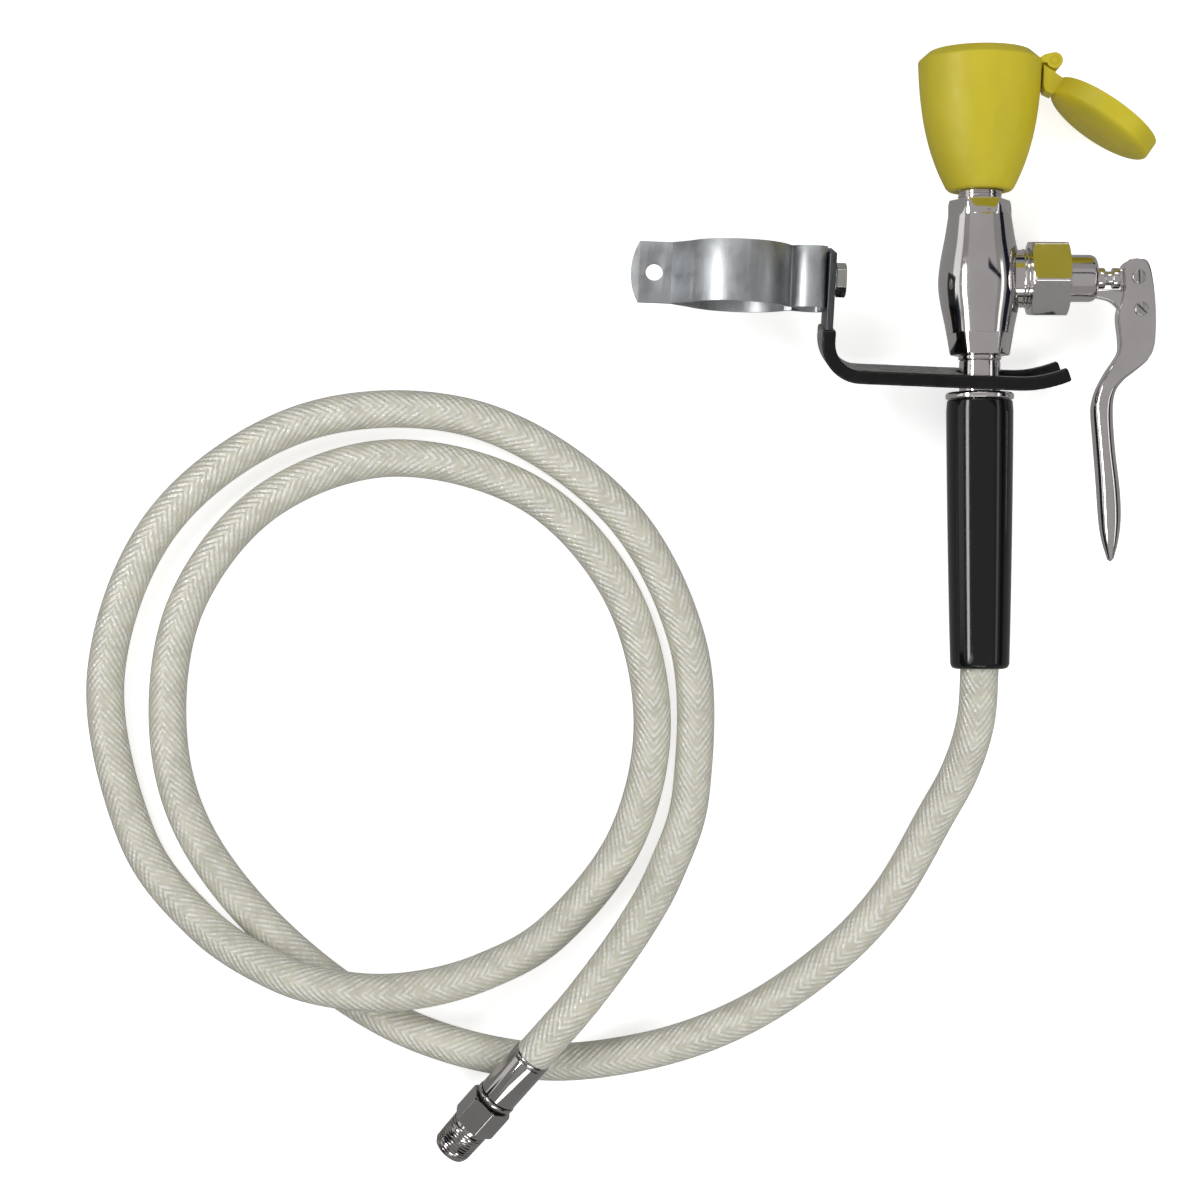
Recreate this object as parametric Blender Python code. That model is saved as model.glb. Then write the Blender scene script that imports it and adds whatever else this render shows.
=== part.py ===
"""Hand-held drench hose: a squeeze-valve spray wand on a looped hose, with the
hook that holds it on a pipe. Metres, +Z up. It lies flat: the wand runs along Y,
its cup rim on the plane z = 0, and the origin is under the middle of the unit
with its hook, the free hose left out.
"""
from math import cos, pi, radians, sin, sqrt, tau

import bmesh
import bpy
from mathutils import Matrix, Vector

# Clearances
SEAT_GAP = 0.0003        # between pieces that seat on each other
FIT_GAP = 0.0003         # round a piece inside another
PIVOT_GAP = 0.00008      # round the pivot screw and the lid pin

# Where the wand lies. The valve port's axis crosses the wand's axis here.
WAND_X = 0.0367
PORT_Y = 0.0343

# Spray cup and what it holds, heights measured up the wand from the port axis
CUP_RIM_RADIUS = 0.0258
CUP_BASE_RADIUS = 0.0143
CUP_FOOT = 0.0366
CUP_SHOULDER = 0.0379
CUP_LIP_RADIUS = CUP_RIM_RADIUS - 0.0045
CUP_HEIGHT = 0.0582
CUP_LIP_HEIGHT = 0.0039
CUP_LIP = 0.0014          # thickness of the lip
CUP_CHAMFER = 0.0012
CUP_WALL = 0.0023
CUP_FLOOR = 0.0078
HEAD_RADIUS = CUP_RIM_RADIUS - 0.0062
HEAD_WALL = 0.0030
HEAD_HEIGHT = 0.0336
PLATE_THICKNESS = 0.0015
SPRAY_HOLE_RADIUS = 0.0011
SPRAY_RINGS = ((1, 0.0), (6, HEAD_RADIUS * 0.316), (12, HEAD_RADIUS * 0.633))
FLOW_WASHER = 0.0020

# Lid, drawn shut and swung open about its pin
LID_RADIUS = CUP_RIM_RADIUS - 0.00165
LID_WALL = 0.00145
LID_RIM = 0.0080
LID_CROWN = 0.0036
LID_OPEN = radians(-215)
HINGE_REACH = 0.0049     # from the cup rim out to the pin
KNUCKLE_RADIUS = 0.0034
LID_PIN_RADIUS = 0.0017
KNUCKLE_HALF = 0.0027
LUG_HALF = 0.0056

# Valve body and nipples
NIPPLE_RADIUS = 0.00924
NIPPLE_BORE = 0.0065
NIPPLE_GRIP = 0.0085     # how far a nipple screws into the body
BODY_TOP = 0.0326
BODY_FOOT = -0.0323
BODY_TOP_RADIUS = 0.0132
BODY_BULGE_RADIUS = 0.0174
BODY_FOOT_RADIUS = 0.0125
WRENCH_FLATS = 0.0220
FLATS_SPREAD = 0.0016     # how far each flat runs outward over its height
TOP_PAD = 0.0066
FOOT_PAD = 0.0088
PORT_FACE = 0.0165
PORT_RADIUS = 0.0124
PORT_END = 0.0266
THREAD_PITCH = 0.0014
THREAD_DEPTH = 0.0004
CHAMBER_RADIUS = 0.0093
SEAT_AT = 0.0030
SEAT_BORE = 0.0036
INLET_BORE = 0.0050
INLET_OFFSET = -0.0035
NECK_RADIUS = 0.0086
NECK_TAIL_RADIUS = 0.0075   # of the end in the body
SPIGOT_RADIUS = 0.0070    # of the end in the grip
RELIEF_RADIUS = NECK_RADIUS + 0.00035
RELIEF_LENGTH = 0.0016
NECK_END = -0.0477

# Union nut, bonnet and stem, measured out along the port axis
NUT_AT = 0.0204
NUT_LENGTH = 0.0159
NUT_CORNER_RADIUS = PORT_RADIUS + 0.0048
NUT_TURN = radians(7.8)
GASKET = 0.0014
FLANGE_RADIUS = PORT_RADIUS - 0.0005
FLANGE = 0.0024
SLEEVE_RADIUS = PORT_RADIUS - 0.0025
BONNET_END = 0.0489
SPRING_ROOM = 0.0072
PACKING_ROOM = 0.0053
PACKING_AT = 0.0054
PACKING_LENGTH = 0.0035
PACKING_WASHER = 0.0013
STEM_RADIUS = 0.0030
STEM_COLLAR = 0.0044
STEM_BUTTON = 0.0044
STEM_NECK = 0.00295
SPRING_RADIUS = 0.0054
SPRING_WIRE = 0.0006
SPRING_TURNS = 6
HOLDER_RADIUS = 0.0070
HOLDER_LENGTH = 0.0040
WASHER_RADIUS = 0.0056
EYE_HALF = 0.0024
EYE_RADIUS = 0.0034
ARM_HALF = 0.0026

# Lever: the two screws' places, and its cheeks
PIVOT_AT = Vector((0.06665, -0.0134))
STEM_SCREW_AT = Vector((0.0656, 0.0))
CHEEK_HALF = 0.0063
CHEEK_SLOT = 0.0031
SCREW_RADIUS = 0.0016
SCREW_HEAD_RADIUS = 0.00295
SCREW_HEAD = 0.0012
SCREW_SLOT = 0.0008
BOSS_RADIUS = 0.0044

# Collar and grip, heights below the port axis
COLLAR_RADIUS = 0.0143
COLLAR_LENGTH = 0.0028
GRIP_TOP_RADIUS = 0.01407
GRIP_END_RADIUS = 0.0124
GRIP_LENGTH = 0.1128
TUBE_RADIUS = 0.0095
TUBE_BORE = 0.0055
GRIP_MOUTH = 0.0100      # the hose's length inside the grip
GRIP_END = NECK_END - SEAT_GAP - COLLAR_LENGTH - SEAT_GAP - GRIP_LENGTH
MOUTH_GAP = 0.0009       # round the hose there

# Hose and its end fitting, lengths along the hose
HOSE_RADIUS = 0.0080
FERRULE_RADIUS = 0.0085
FERRULE_WALL = 0.0010
FERRULE_LENGTH = 0.0245
TAIL_BORE = 0.0040
COLLAR_RING_RADIUS = 0.0089
COLLAR_RING = 0.0019
SWIVEL_GROOVE = 0.0014
ADAPTER_FLATS = 0.0178
ADAPTER_HEX = 0.0140
INLET_THREAD_RADIUS = 0.00855
INLET_THREAD = 0.0163
INLET_PITCH = 0.0038      # ribs drawn wider than cut, so that they stay plain rings
INLET_DEPTH = 0.0006

# Hook: a bent steel bar with a dipped fork. Its local origin is the fork's
# centre, X towards the tips, Y up the plate.
HOOK_TURN = radians(-2.4)
HOOK_TILT = radians(11)
FORK_DROP = 0.0421       # below the port axis
BAR_THICKNESS = 0.0030
BAR_WIDTH = 0.0290
COATING = 0.0013
SLOT_RADIUS = NECK_RADIUS + 0.0014   # of the dipped slot
SLOT_FLARE = 0.0008      # how much each prong stands off further at its tip
TIP_REACH = 0.0340
TIP_RISE = 0.0044
TIP_RUN = 0.0200
PLATE_AT = 0.0653
PLATE_TOP = 0.0510
COATING_TOP = 0.0190
BEND_RADIUS = 0.0140
BOLT_HEIGHT = 0.0387
BOLT_RADIUS = 0.0039
BOLT_FLATS = 0.0127
BOLT_HEAD = 0.0041
NUT_THICKNESS = 0.0065
LOCK_WASHER = 0.0006
WASHER_OUTSIDE = 0.0064

# Pipe clamp: one bent strap, measured back from the hook plate
STRAP = 0.0017
STRAP_WIDTH = 0.0254
PIPE_RADIUS = 0.0211
CLAMP_LENGTH = 0.0812
EAR_LENGTH = 0.0175
RING_AT = 0.0362
BASE_HALF = 0.0115
PINCH_HALF = 0.0062
EAR_HOLE_RADIUS = 0.0036
EAR_END_RADIUS = 0.0255

SMOOTH_ANGLE = radians(35)

# Sides of the large, middling and small round pieces
FINE = 36
ROUND = 24
SMALL = 16

ALONG_WAND = (radians(-90), 0, 0)
ALONG_PORT = (0, radians(90), 0)

# The hose's route, from inside the grip to the ferrule
HOSE_MOUTH = Vector((0.0367, -0.1196, 0.0258))   # where the grip's mouth starts the route
HOSE_ROUTE = (
    (0.0366, -0.1199, 0.0258), (0.0365, -0.1309, 0.0258), (0.0352, -0.1521, 0.0234),
    (0.0298, -0.1731, 0.0152), (0.0203, -0.1922, 0.0100), (0.0001, -0.2273, 0.0081),
    (-0.0262, -0.2546, 0.0081), (-0.0630, -0.2789, 0.0081), (-0.1056, -0.2934, 0.0081),
    (-0.1542, -0.2968, 0.0081), (-0.2097, -0.2810, 0.0081), (-0.2600, -0.2448, 0.0081),
    (-0.2953, -0.2001, 0.0081), (-0.3070, -0.1532, 0.0081), (-0.2986, -0.1015, 0.0081),
    (-0.2648, -0.0588, 0.0081), (-0.2118, -0.0402, 0.0081), (-0.1532, -0.0548, 0.0081),
    (-0.1147, -0.0959, 0.0081), (-0.1005, -0.1497, 0.0081), (-0.1110, -0.2012, 0.0081),
    (-0.1416, -0.2411, 0.0081), (-0.1722, -0.2585, 0.0130), (-0.2029, -0.2654, 0.0216),
    (-0.2313, -0.2645, 0.0252), (-0.2595, -0.2569, 0.0222), (-0.2924, -0.2373, 0.0122),
    (-0.3207, -0.1999, 0.0081), (-0.3333, -0.1321, 0.0081), (-0.3079, -0.0659, 0.0081),
    (-0.2485, -0.0249, 0.0081), (-0.1764, -0.0234, 0.0081), (-0.1161, -0.0610, 0.0081),
    (-0.0853, -0.1191, 0.0081), (-0.0837, -0.1807, 0.0081), (-0.0944, -0.2148, 0.0140),
    (-0.1092, -0.2400, 0.0257), (-0.1290, -0.2662, 0.0328), (-0.1446, -0.2845, 0.0302),
    (-0.1504, -0.2914, 0.0274),
)


def smooth(points, steps):
    """Points on a smooth curve through the given ones, in two or three dimensions."""
    points = [Vector(p) for p in points]
    ends = [points[0] * 2 - points[1]] + points + [points[-1] * 2 - points[-2]]
    curve = []
    for a, b, c, d in zip(ends, ends[1:], ends[2:], ends[3:]):
        for step in range(steps):
            t = step / steps
            curve.append(
                (b * 2 + (c - a) * t + (a * 2 - b * 5 + c * 4 - d) * t**2
                 + (b * 3 - a - c * 3 + d) * t**3) / 2
            )
    curve.append(points[-1])
    return curve


def evenly(points, count, lowest):
    """That many points an equal way apart along a curve, none below the lowest height."""
    reach = [0.0]
    for a, b in zip(points, points[1:]):
        reach.append(reach[-1] + (b - a).length)
    chosen = []
    leg = 0
    for number in range(count):
        wanted = reach[-1] * number / (count - 1)
        while leg < len(points) - 2 and reach[leg + 1] < wanted:
            leg += 1
        share = (wanted - reach[leg]) / (reach[leg + 1] - reach[leg])
        point = points[leg].lerp(points[leg + 1], min(share, 1.0))
        chosen.append(Vector((point.x, point.y, max(point.z, lowest))))
    return chosen


def arc(centre, radius, start, end, steps):
    """Points on an arc, its angles in degrees."""
    angles = [radians(start + (end - start) * i / steps) for i in range(steps + 1)]
    return [(centre[0] + radius * cos(a), centre[1] + radius * sin(a)) for a in angles]


def polygon(corner_radius, sides, turn=0.0):
    return [
        (corner_radius * cos(turn + tau * i / sides), corner_radius * sin(turn + tau * i / sides))
        for i in range(sides)
    ]


def hexagon(flats, turn=0.0):
    return polygon(flats / sqrt(3), 6, turn)


def ribbon(path, thickness):
    """The outline of a strip of that thickness whose middle follows the path."""
    path = [Vector(p) for p in path]
    left, right = [], []
    for i, point in enumerate(path):
        before = (point - path[i - 1]).normalized() if i else None
        after = (path[i + 1] - point).normalized() if i + 1 < len(path) else None
        way = ((before or after) + (after or before)).normalized()
        side = Vector((-way.y, way.x)) * thickness / 2 / way.dot(after or before)
        left.append(tuple(point + side))
        right.append(tuple(point - side))
    return left + right[::-1]


def material(name, colour, roughness, metallic):
    made = bpy.data.materials.new(name)
    made.use_nodes = True
    shader = made.node_tree.nodes["Principled BSDF"]
    shader.inputs["Base Color"].default_value = (*colour, 1)
    shader.inputs["Roughness"].default_value = roughness
    shader.inputs["Metallic"].default_value = metallic
    made.diffuse_color = (*colour, 1)
    return made


def empty(name, parent=None, at=(0, 0, 0), turn=(0, 0, 0)):
    made = bpy.data.objects.new(name, None)
    bpy.context.scene.collection.objects.link(made)
    made.parent = parent
    made.location = at
    made.rotation_euler = turn
    return made


def put(name, bm, finish, parent, at, turn):
    """Closes the mesh, turns its faces out and places it."""
    bmesh.ops.remove_doubles(bm, verts=bm.verts, dist=1e-6)
    bmesh.ops.recalc_face_normals(bm, faces=bm.faces)
    mesh = bpy.data.meshes.new(name)
    bm.to_mesh(mesh)
    bm.free()
    mesh.shade_smooth()
    mesh.set_sharp_from_angle(angle=SMOOTH_ANGLE)
    made = bpy.data.objects.new(name, mesh)
    bpy.context.scene.collection.objects.link(made)
    made.parent = parent
    made.location = at
    made.rotation_euler = turn
    if finish:
        mesh.materials.append(finish)
    return made


def turned(name, outline, steps, finish, parent, turn=(0, 0, 0), at=(0, 0, 0)):
    """A solid turned about its local Z from a closed outline of (radius, height)."""
    bm = bmesh.new()
    corners = [bm.verts.new((radius, 0, height)) for radius, height in outline]
    on_axis = outline[0][0] == 0 and outline[-1][0] == 0
    pairs = zip(corners, corners[1:] + ([] if on_axis else corners[:1]))
    edges = [bm.edges.new(pair) for pair in pairs]
    bmesh.ops.spin(
        bm, geom=corners + edges, cent=(0, 0, 0), axis=(0, 0, 1), angle=tau, steps=steps
    )
    return put(name, bm, finish, parent, at, turn)


def prism(name, outline, low, high, finish, parent, turn=(0, 0, 0), at=(0, 0, 0)):
    """An outline in local XY, extruded along Z."""
    bm = bmesh.new()
    base = bm.faces.new([bm.verts.new((x, y, low)) for x, y in outline])
    grown = bmesh.ops.extrude_face_region(bm, geom=[base])["geom"]
    tops = [item for item in grown if isinstance(item, bmesh.types.BMVert)]
    bmesh.ops.translate(bm, verts=tops, vec=(0, 0, high - low))
    return put(name, bm, finish, parent, at, turn)


def frame_prism(name, outer, inner_low, inner_high, low, high, parent, turn=(0, 0, 0)):
    """A prism with a tapered hole, all its outlines with as many corners."""
    bm = bmesh.new()
    ends = ((outer, low), (outer, high), (inner_high, high), (inner_low, low))
    rings = [[bm.verts.new((x, y, z)) for x, y in outline] for outline, z in ends]
    for ring, other in zip(rings, rings[1:] + rings[:1]):
        for i in range(len(ring)):
            j = (i + 1) % len(ring)
            bm.faces.new((ring[i], ring[j], other[j], other[i]))
    return put(name, bm, None, parent, (0, 0, 0), turn)


def rod(name, radius, low, high, steps, finish, parent, turn=(0, 0, 0), at=(0, 0, 0)):
    outline = [(0, low), (radius, low), (radius, high), (0, high)]
    return turned(name, outline, steps, finish, parent, turn, at)


def ring(name, inner, outer, low, high, steps, finish, parent, turn=(0, 0, 0), at=(0, 0, 0)):
    outline = [(inner, low), (outer, low), (outer, high), (inner, high)]
    return turned(name, outline, steps, finish, parent, turn, at)


def shape_with(target, tool, operation="DIFFERENCE"):
    """Cuts, joins or keeps what a hidden tool marks out of a piece."""
    tool.hide_render = True
    tool.display_type = "WIRE"
    step = target.modifiers.new(tool.name, "BOOLEAN")
    step.object = tool
    step.operation = operation
    step.solver = "EXACT"


def soften(target, width, segments=1):
    step = target.modifiers.new("rounded_edges", "BEVEL")
    step.width = width
    step.segments = segments
    step.limit_method = "ANGLE"
    step.angle_limit = radians(40)


def clear_scene():
    for item in list(bpy.data.objects):
        bpy.data.objects.remove(item)


def cup_radius(height):
    """The cup's outer radius: a bell that widens quickly, then runs nearly straight."""
    share = (height - CUP_SHOULDER) / (CUP_FOOT + CUP_HEIGHT - CUP_LIP_HEIGHT - CUP_SHOULDER)
    share = min(max(share, 0.0), 1.0)
    bell = 1 - (1 - share) ** 2.6
    waist = 0.0006 * sin(pi * share)
    return CUP_BASE_RADIUS + (CUP_RIM_RADIUS - CUP_BASE_RADIUS) * bell - waist


def cup_rim():
    return CUP_FOOT + CUP_HEIGHT - CUP_LIP_HEIGHT


def nipple_end():
    """Where the outlet nipple ends, inside the cup."""
    return CUP_FOOT + CUP_FLOOR + 0.0056


def head_foot():
    return CUP_FOOT + CUP_FLOOR + SEAT_GAP * 7


def spray_cup(wand, finish):
    floor = CUP_FOOT + CUP_FLOOR
    rim = cup_rim()
    mouth = CUP_FOOT + CUP_HEIGHT
    inner_rim = rim - CUP_WALL / 2
    outer_steps = [CUP_SHOULDER + (rim - CUP_SHOULDER) * i / 8 for i in range(9)]
    inner_steps = [inner_rim - (inner_rim - floor) * i / 5 for i in range(6)]
    outer = [(cup_radius(h), h) for h in outer_steps]
    inner = [(cup_radius(h) - CUP_WALL, h) for h in inner_steps]
    hole = NIPPLE_RADIUS + FIT_GAP
    outline = [(hole, CUP_FOOT), (CUP_BASE_RADIUS - CUP_CHAMFER, CUP_FOOT)]
    outline += outer
    outline += [(CUP_LIP_RADIUS, mouth), (CUP_LIP_RADIUS - CUP_LIP, mouth)]
    outline += inner + [(hole, floor)]
    cup = turned("spray_cup", outline, FINE, finish, wand, ALONG_WAND)
    for side in (-1, 1):
        low, high = sorted((side * (KNUCKLE_HALF + SEAT_GAP), side * LUG_HALF))
        lug = prism(f"lug_{side}", lug_outline(), low, high, None, wand, at=hinge_place())
        shape_with(cup, lug, "UNION")
    bore = LID_PIN_RADIUS + PIVOT_GAP
    shape_with(cup, rod("cup_pin_hole", bore, -0.01, 0.01, SMALL, None, wand, at=hinge_place()))


def hinge_place():
    return (CUP_RIM_RADIUS + HINGE_REACH, cup_rim() - SEAT_GAP, 0)


def lug_outline():
    """From the cup's wall out round the pin, seen along the pin."""
    root = -HINGE_REACH - 0.0016
    return [(root, -0.0007), (-0.0032, -0.0010)] + arc((0, 0), KNUCKLE_RADIUS, 205, 460, 14) + [
        (-0.0042, 0.0025), (root, 0.0010)
    ]


def dust_cover(hinge, finish):
    """The lid, drawn shut about the pin: its middle lies over the cup's axis."""
    reach = CUP_RIM_RADIUS + HINGE_REACH
    foot = 0.0034
    edge = foot + LID_RIM
    dome = [
        (LID_RADIUS * sin(radians(a)), edge + LID_CROWN * (cos(radians(a)) - cos(radians(75))) / 0.74)
        for a in (75, 55, 30)
    ]
    outline = [(LID_RADIUS - LID_WALL, foot), (LID_RADIUS, foot), (LID_RADIUS, edge - 0.0008)]
    outline += dome + [(0, edge + LID_CROWN), (0, edge + LID_CROWN - LID_WALL)]
    outline += [(LID_RADIUS * 0.55, edge + LID_CROWN * 0.62 - LID_WALL)]
    outline += [(LID_RADIUS - LID_WALL, edge - LID_WALL)]
    lid = turned_off_axis("dust_cover", outline, FINE, finish, hinge, ALONG_WAND, (-reach, 0, 0))
    left = LID_RADIUS - reach
    arm = [
        (0.0027, 0.0041), (-0.0020, edge - 0.0002), (left + 0.0026, edge + 0.0012),
        (left - 0.0009, edge + 0.0006), (left - 0.0009, foot + 0.0008), (-0.0030, 0.0041),
    ]
    shape_with(lid, prism("lid_arm", arm, -LUG_HALF, LUG_HALF, None, hinge), "UNION")
    knuckle = [(-0.0031, 0.0050)] + arc((0, 0), KNUCKLE_RADIUS, 155, 385, 14) + [(0.0026, 0.0050)]
    shape_with(lid, prism("lid_knuckle", knuckle, -KNUCKLE_HALF, KNUCKLE_HALF, None, hinge), "UNION")
    bore = LID_PIN_RADIUS + PIVOT_GAP
    shape_with(lid, rod("lid_pin_hole", bore, -0.01, 0.01, SMALL, None, hinge))


def turned_off_axis(name, outline, steps, finish, parent, turn, offset):
    """A turned solid whose mesh is moved off its own origin, which stays on a joint."""
    made = turned(name, outline, steps, finish, parent)
    tilt = Matrix.Rotation(turn[0], 4, "X") @ Matrix.Rotation(turn[1], 4, "Y")
    made.data.transform(Matrix.Translation(offset) @ tilt)
    return made


def cup_parts(wand, plastic, chrome, steel, rubber):
    spray_cup(wand, plastic)
    foot = head_foot()
    shoulder = nipple_end() + SEAT_GAP * 2 + FLOW_WASHER
    throat = NIPPLE_BORE
    top = foot + HEAD_HEIGHT
    seat = top - PLATE_THICKNESS - SEAT_GAP * 4
    bore = HEAD_RADIUS - HEAD_WALL
    outline = [
        (NIPPLE_RADIUS + FIT_GAP, foot), (0.0130, foot), (0.0132, foot + 0.0066),
        (HEAD_RADIUS, foot + 0.0196), (HEAD_RADIUS, top), (HEAD_RADIUS - HEAD_WALL / 2, top),
        (HEAD_RADIUS - HEAD_WALL / 2, seat), (bore, seat), (bore, foot + 0.0206),
        (throat, shoulder + 0.0030), (throat, shoulder), (NIPPLE_RADIUS + FIT_GAP, shoulder),
    ]
    turned("spray_head", outline, ROUND, chrome, wand, ALONG_WAND)
    plate_radius = HEAD_RADIUS - HEAD_WALL / 2 - FIT_GAP
    low = seat + SEAT_GAP
    plate = rod("spray_plate", plate_radius, low, low + PLATE_THICKNESS, ROUND, steel, wand, ALONG_WAND)
    shape_with(plate, hole_pattern(wand, low))
    ring(
        "flow_control", 0.0033, NIPPLE_RADIUS, nipple_end() + SEAT_GAP,
        nipple_end() + SEAT_GAP + FLOW_WASHER, SMALL, rubber, wand, ALONG_WAND,
    )


def hole_pattern(wand, low):
    """One tool with every spray hole in it."""
    bm = bmesh.new()
    for count, radius in SPRAY_RINGS:
        for i in range(count):
            place = Matrix.Translation(
                (radius * cos(tau * i / count), radius * sin(tau * i / count), low)
            )
            bmesh.ops.create_cone(
                bm, cap_ends=True, segments=8, radius1=SPRAY_HOLE_RADIUS,
                radius2=SPRAY_HOLE_RADIUS, depth=0.01, matrix=place,
            )
    return put("spray_holes", bm, None, wand, (0, 0, 0), ALONG_WAND)


def thread(radius, start, end, pitch=THREAD_PITCH, depth=THREAD_DEPTH):
    """A ribbed line along a threaded stretch, as (radius, height) points."""
    count = max(1, int(abs(end - start) / pitch))
    step = (end - start) / count
    line = []
    for i in range(count):
        foot = start + i * step
        line += [(radius, foot + step * 0.15), (radius, foot + step * 0.5)]
        line += [(radius - depth, foot + step * 0.75)]
    return [(radius, start)] + line[1:] + [(radius, end)]


def outlet_nipple(wand, finish):
    low = BODY_TOP - NIPPLE_GRIP
    outline = [(NIPPLE_BORE, low), (NIPPLE_RADIUS, low), (NIPPLE_RADIUS, BODY_TOP)]
    outline += thread(NIPPLE_RADIUS, BODY_TOP, CUP_FOOT)[1:]
    outline += [(NIPPLE_RADIUS, nipple_end()), (NIPPLE_BORE, nipple_end())]
    turned("outlet_nipple", outline, ROUND, finish, wand, ALONG_WAND)


def body_outline():
    rise = BODY_BULGE_RADIUS - BODY_TOP_RADIUS
    fall = BODY_BULGE_RADIUS - BODY_FOOT_RADIUS
    line = smooth(
        [
            (BODY_TOP_RADIUS, BODY_TOP - TOP_PAD), (BODY_TOP_RADIUS + rise * 0.32, BODY_TOP * 0.54),
            (BODY_TOP_RADIUS + rise * 0.80, BODY_TOP * 0.21), (BODY_BULGE_RADIUS, -0.0020),
            (BODY_FOOT_RADIUS + fall * 0.84, BODY_FOOT * 0.31),
            (BODY_FOOT_RADIUS + fall * 0.42, BODY_FOOT * 0.62),
            (BODY_FOOT_RADIUS + fall * 0.15, BODY_FOOT * 0.86), (BODY_FOOT_RADIUS, BODY_FOOT),
        ],
        2,
    )
    return [(0, BODY_TOP), (BODY_TOP_RADIUS, BODY_TOP)] + [tuple(p) for p in line] + [(0, BODY_FOOT)]


def wrench_flats(name, low, high, low_flats, high_flats, wand):
    """A tool that leaves a tapered hexagon standing where it cuts."""
    outer = polygon(BODY_BULGE_RADIUS * 2, 6)
    low_side, high_side = hexagon(low_flats), hexagon(high_flats)
    return frame_prism(name, outer, low_side, high_side, low, high, wand, ALONG_WAND)


def valve_body(wand, finish):
    body = turned("valve_body", body_outline(), 32, finish, wand, ALONG_WAND)
    clear = 0.004
    wide = WRENCH_FLATS + 2 * FLATS_SPREAD
    top_pad = (BODY_TOP - TOP_PAD, BODY_TOP, wide, WRENCH_FLATS)
    foot_pad = (BODY_FOOT, BODY_FOOT + FOOT_PAD, WRENCH_FLATS, wide)
    shape_with(body, wrench_flats("top_flats", *top_pad, wand))
    shape_with(body, wrench_flats("foot_flats", *foot_pad, wand))
    half = BODY_BULGE_RADIUS * 1.2
    face = [(-half, -half), (half, -half), (half, half), (-half, half)]
    shape_with(body, prism("port_face", face, PORT_FACE, PORT_FACE * 1.5, None, wand, ALONG_PORT))
    line = [(0, 0.010), (PORT_RADIUS, 0.010)] + thread(PORT_RADIUS, PORT_FACE, PORT_END)[:-1]
    line += [(PORT_RADIUS - THREAD_DEPTH, PORT_END), (0, PORT_END)]
    shape_with(body, turned("port", line, ROUND, None, wand, ALONG_PORT), "UNION")
    bores = (
        ("outlet_bore", NIPPLE_BORE, CHAMBER_RADIUS * 0.6, BODY_TOP + clear, ALONG_WAND, 0),
        ("outlet_socket", NIPPLE_RADIUS + FIT_GAP, BODY_TOP - NIPPLE_GRIP - FIT_GAP,
         BODY_TOP + clear, ALONG_WAND, 0),
        ("inlet_bore", INLET_BORE, BODY_FOOT - clear, 0.0012, ALONG_WAND, INLET_OFFSET),
        ("inlet_socket", NECK_TAIL_RADIUS + FIT_GAP, BODY_FOOT - clear,
         BODY_FOOT + NIPPLE_GRIP + FIT_GAP, ALONG_WAND, 0),
        ("chamber", CHAMBER_RADIUS, SEAT_AT, PORT_END + clear, ALONG_PORT, 0),
    )
    for name, radius, low, high, turn, offset in bores:
        shape_with(body, rod(name, radius, low, high, SMALL, None, wand, turn, (offset, 0, 0)))
    seat = rod("seat_hole", SEAT_BORE, INLET_OFFSET, SEAT_AT + 0.001, SMALL, None, wand, ALONG_PORT)
    shape_with(body, seat)


def nut_shoulder():
    """Where the union nut bears on the bonnet's flange."""
    return PORT_END + SEAT_GAP + GASKET + SEAT_GAP + FLANGE + SEAT_GAP


def union_nut(wand, finish):
    end = NUT_AT + NUT_LENGTH
    chamfer = 0.0016
    bore = PORT_RADIUS + FIT_GAP
    corner = NUT_CORNER_RADIUS
    sleeve = SLEEVE_RADIUS + FIT_GAP
    outline = [
        (bore, NUT_AT), (corner - chamfer, NUT_AT), (corner + 0.0002, NUT_AT + chamfer),
        (corner + 0.0002, end - chamfer), (corner - chamfer, end),
        (sleeve, end), (sleeve, nut_shoulder()), (bore, nut_shoulder()),
    ]
    nut = turned("union_nut", outline, ROUND, finish, wand, ALONG_PORT)
    hexed = polygon(corner, 6, NUT_TURN)
    sides = prism("nut_hexagon", hexed, NUT_AT - 0.01, end + 0.01, None, wand, ALONG_PORT)
    shape_with(nut, sides, "INTERSECT")


def bonnet(wand, chrome, rubber, steel):
    low = PORT_END + SEAT_GAP
    ring(
        "bonnet_gasket", CHAMBER_RADIUS + FIT_GAP, FLANGE_RADIUS, low, low + GASKET, SMALL,
        rubber, wand, ALONG_PORT,
    )
    face = low + GASKET + SEAT_GAP
    bore = STEM_RADIUS + FIT_GAP
    packing = BONNET_END - PACKING_AT
    room = packing - PACKING_LENGTH
    outline = [
        (SPRING_ROOM, face), (FLANGE_RADIUS, face), (FLANGE_RADIUS, face + FLANGE),
        (SLEEVE_RADIUS, face + FLANGE), (SLEEVE_RADIUS, BONNET_END - 0.0022),
        (SLEEVE_RADIUS - 0.0006, BONNET_END - 0.0008), (SLEEVE_RADIUS - 0.0022, BONNET_END),
        (bore, BONNET_END), (bore, packing), (PACKING_ROOM, packing), (PACKING_ROOM, room),
        (SPRING_ROOM, room),
    ]
    made = turned("bonnet", outline, ROUND, chrome, wand, ALONG_PORT)
    shape_with(made, prism("fulcrum_arm", arm_outline(), -ARM_HALF, ARM_HALF, None, wand), "UNION")
    hole = rod("pivot_hole", SCREW_RADIUS + PIVOT_GAP, -0.01, 0.01, 20, None, wand, at=(*PIVOT_AT, 0))
    shape_with(made, hole)
    washer = room - PACKING_WASHER
    ring(
        "stem_packing", bore, PACKING_ROOM - FIT_GAP, room, packing - SEAT_GAP, SMALL,
        rubber, wand, ALONG_PORT,
    )
    ring(
        "packing_washer", bore, SPRING_ROOM - FIT_GAP, washer, room - SEAT_GAP, SMALL,
        steel, wand, ALONG_PORT,
    )
    return washer


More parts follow.
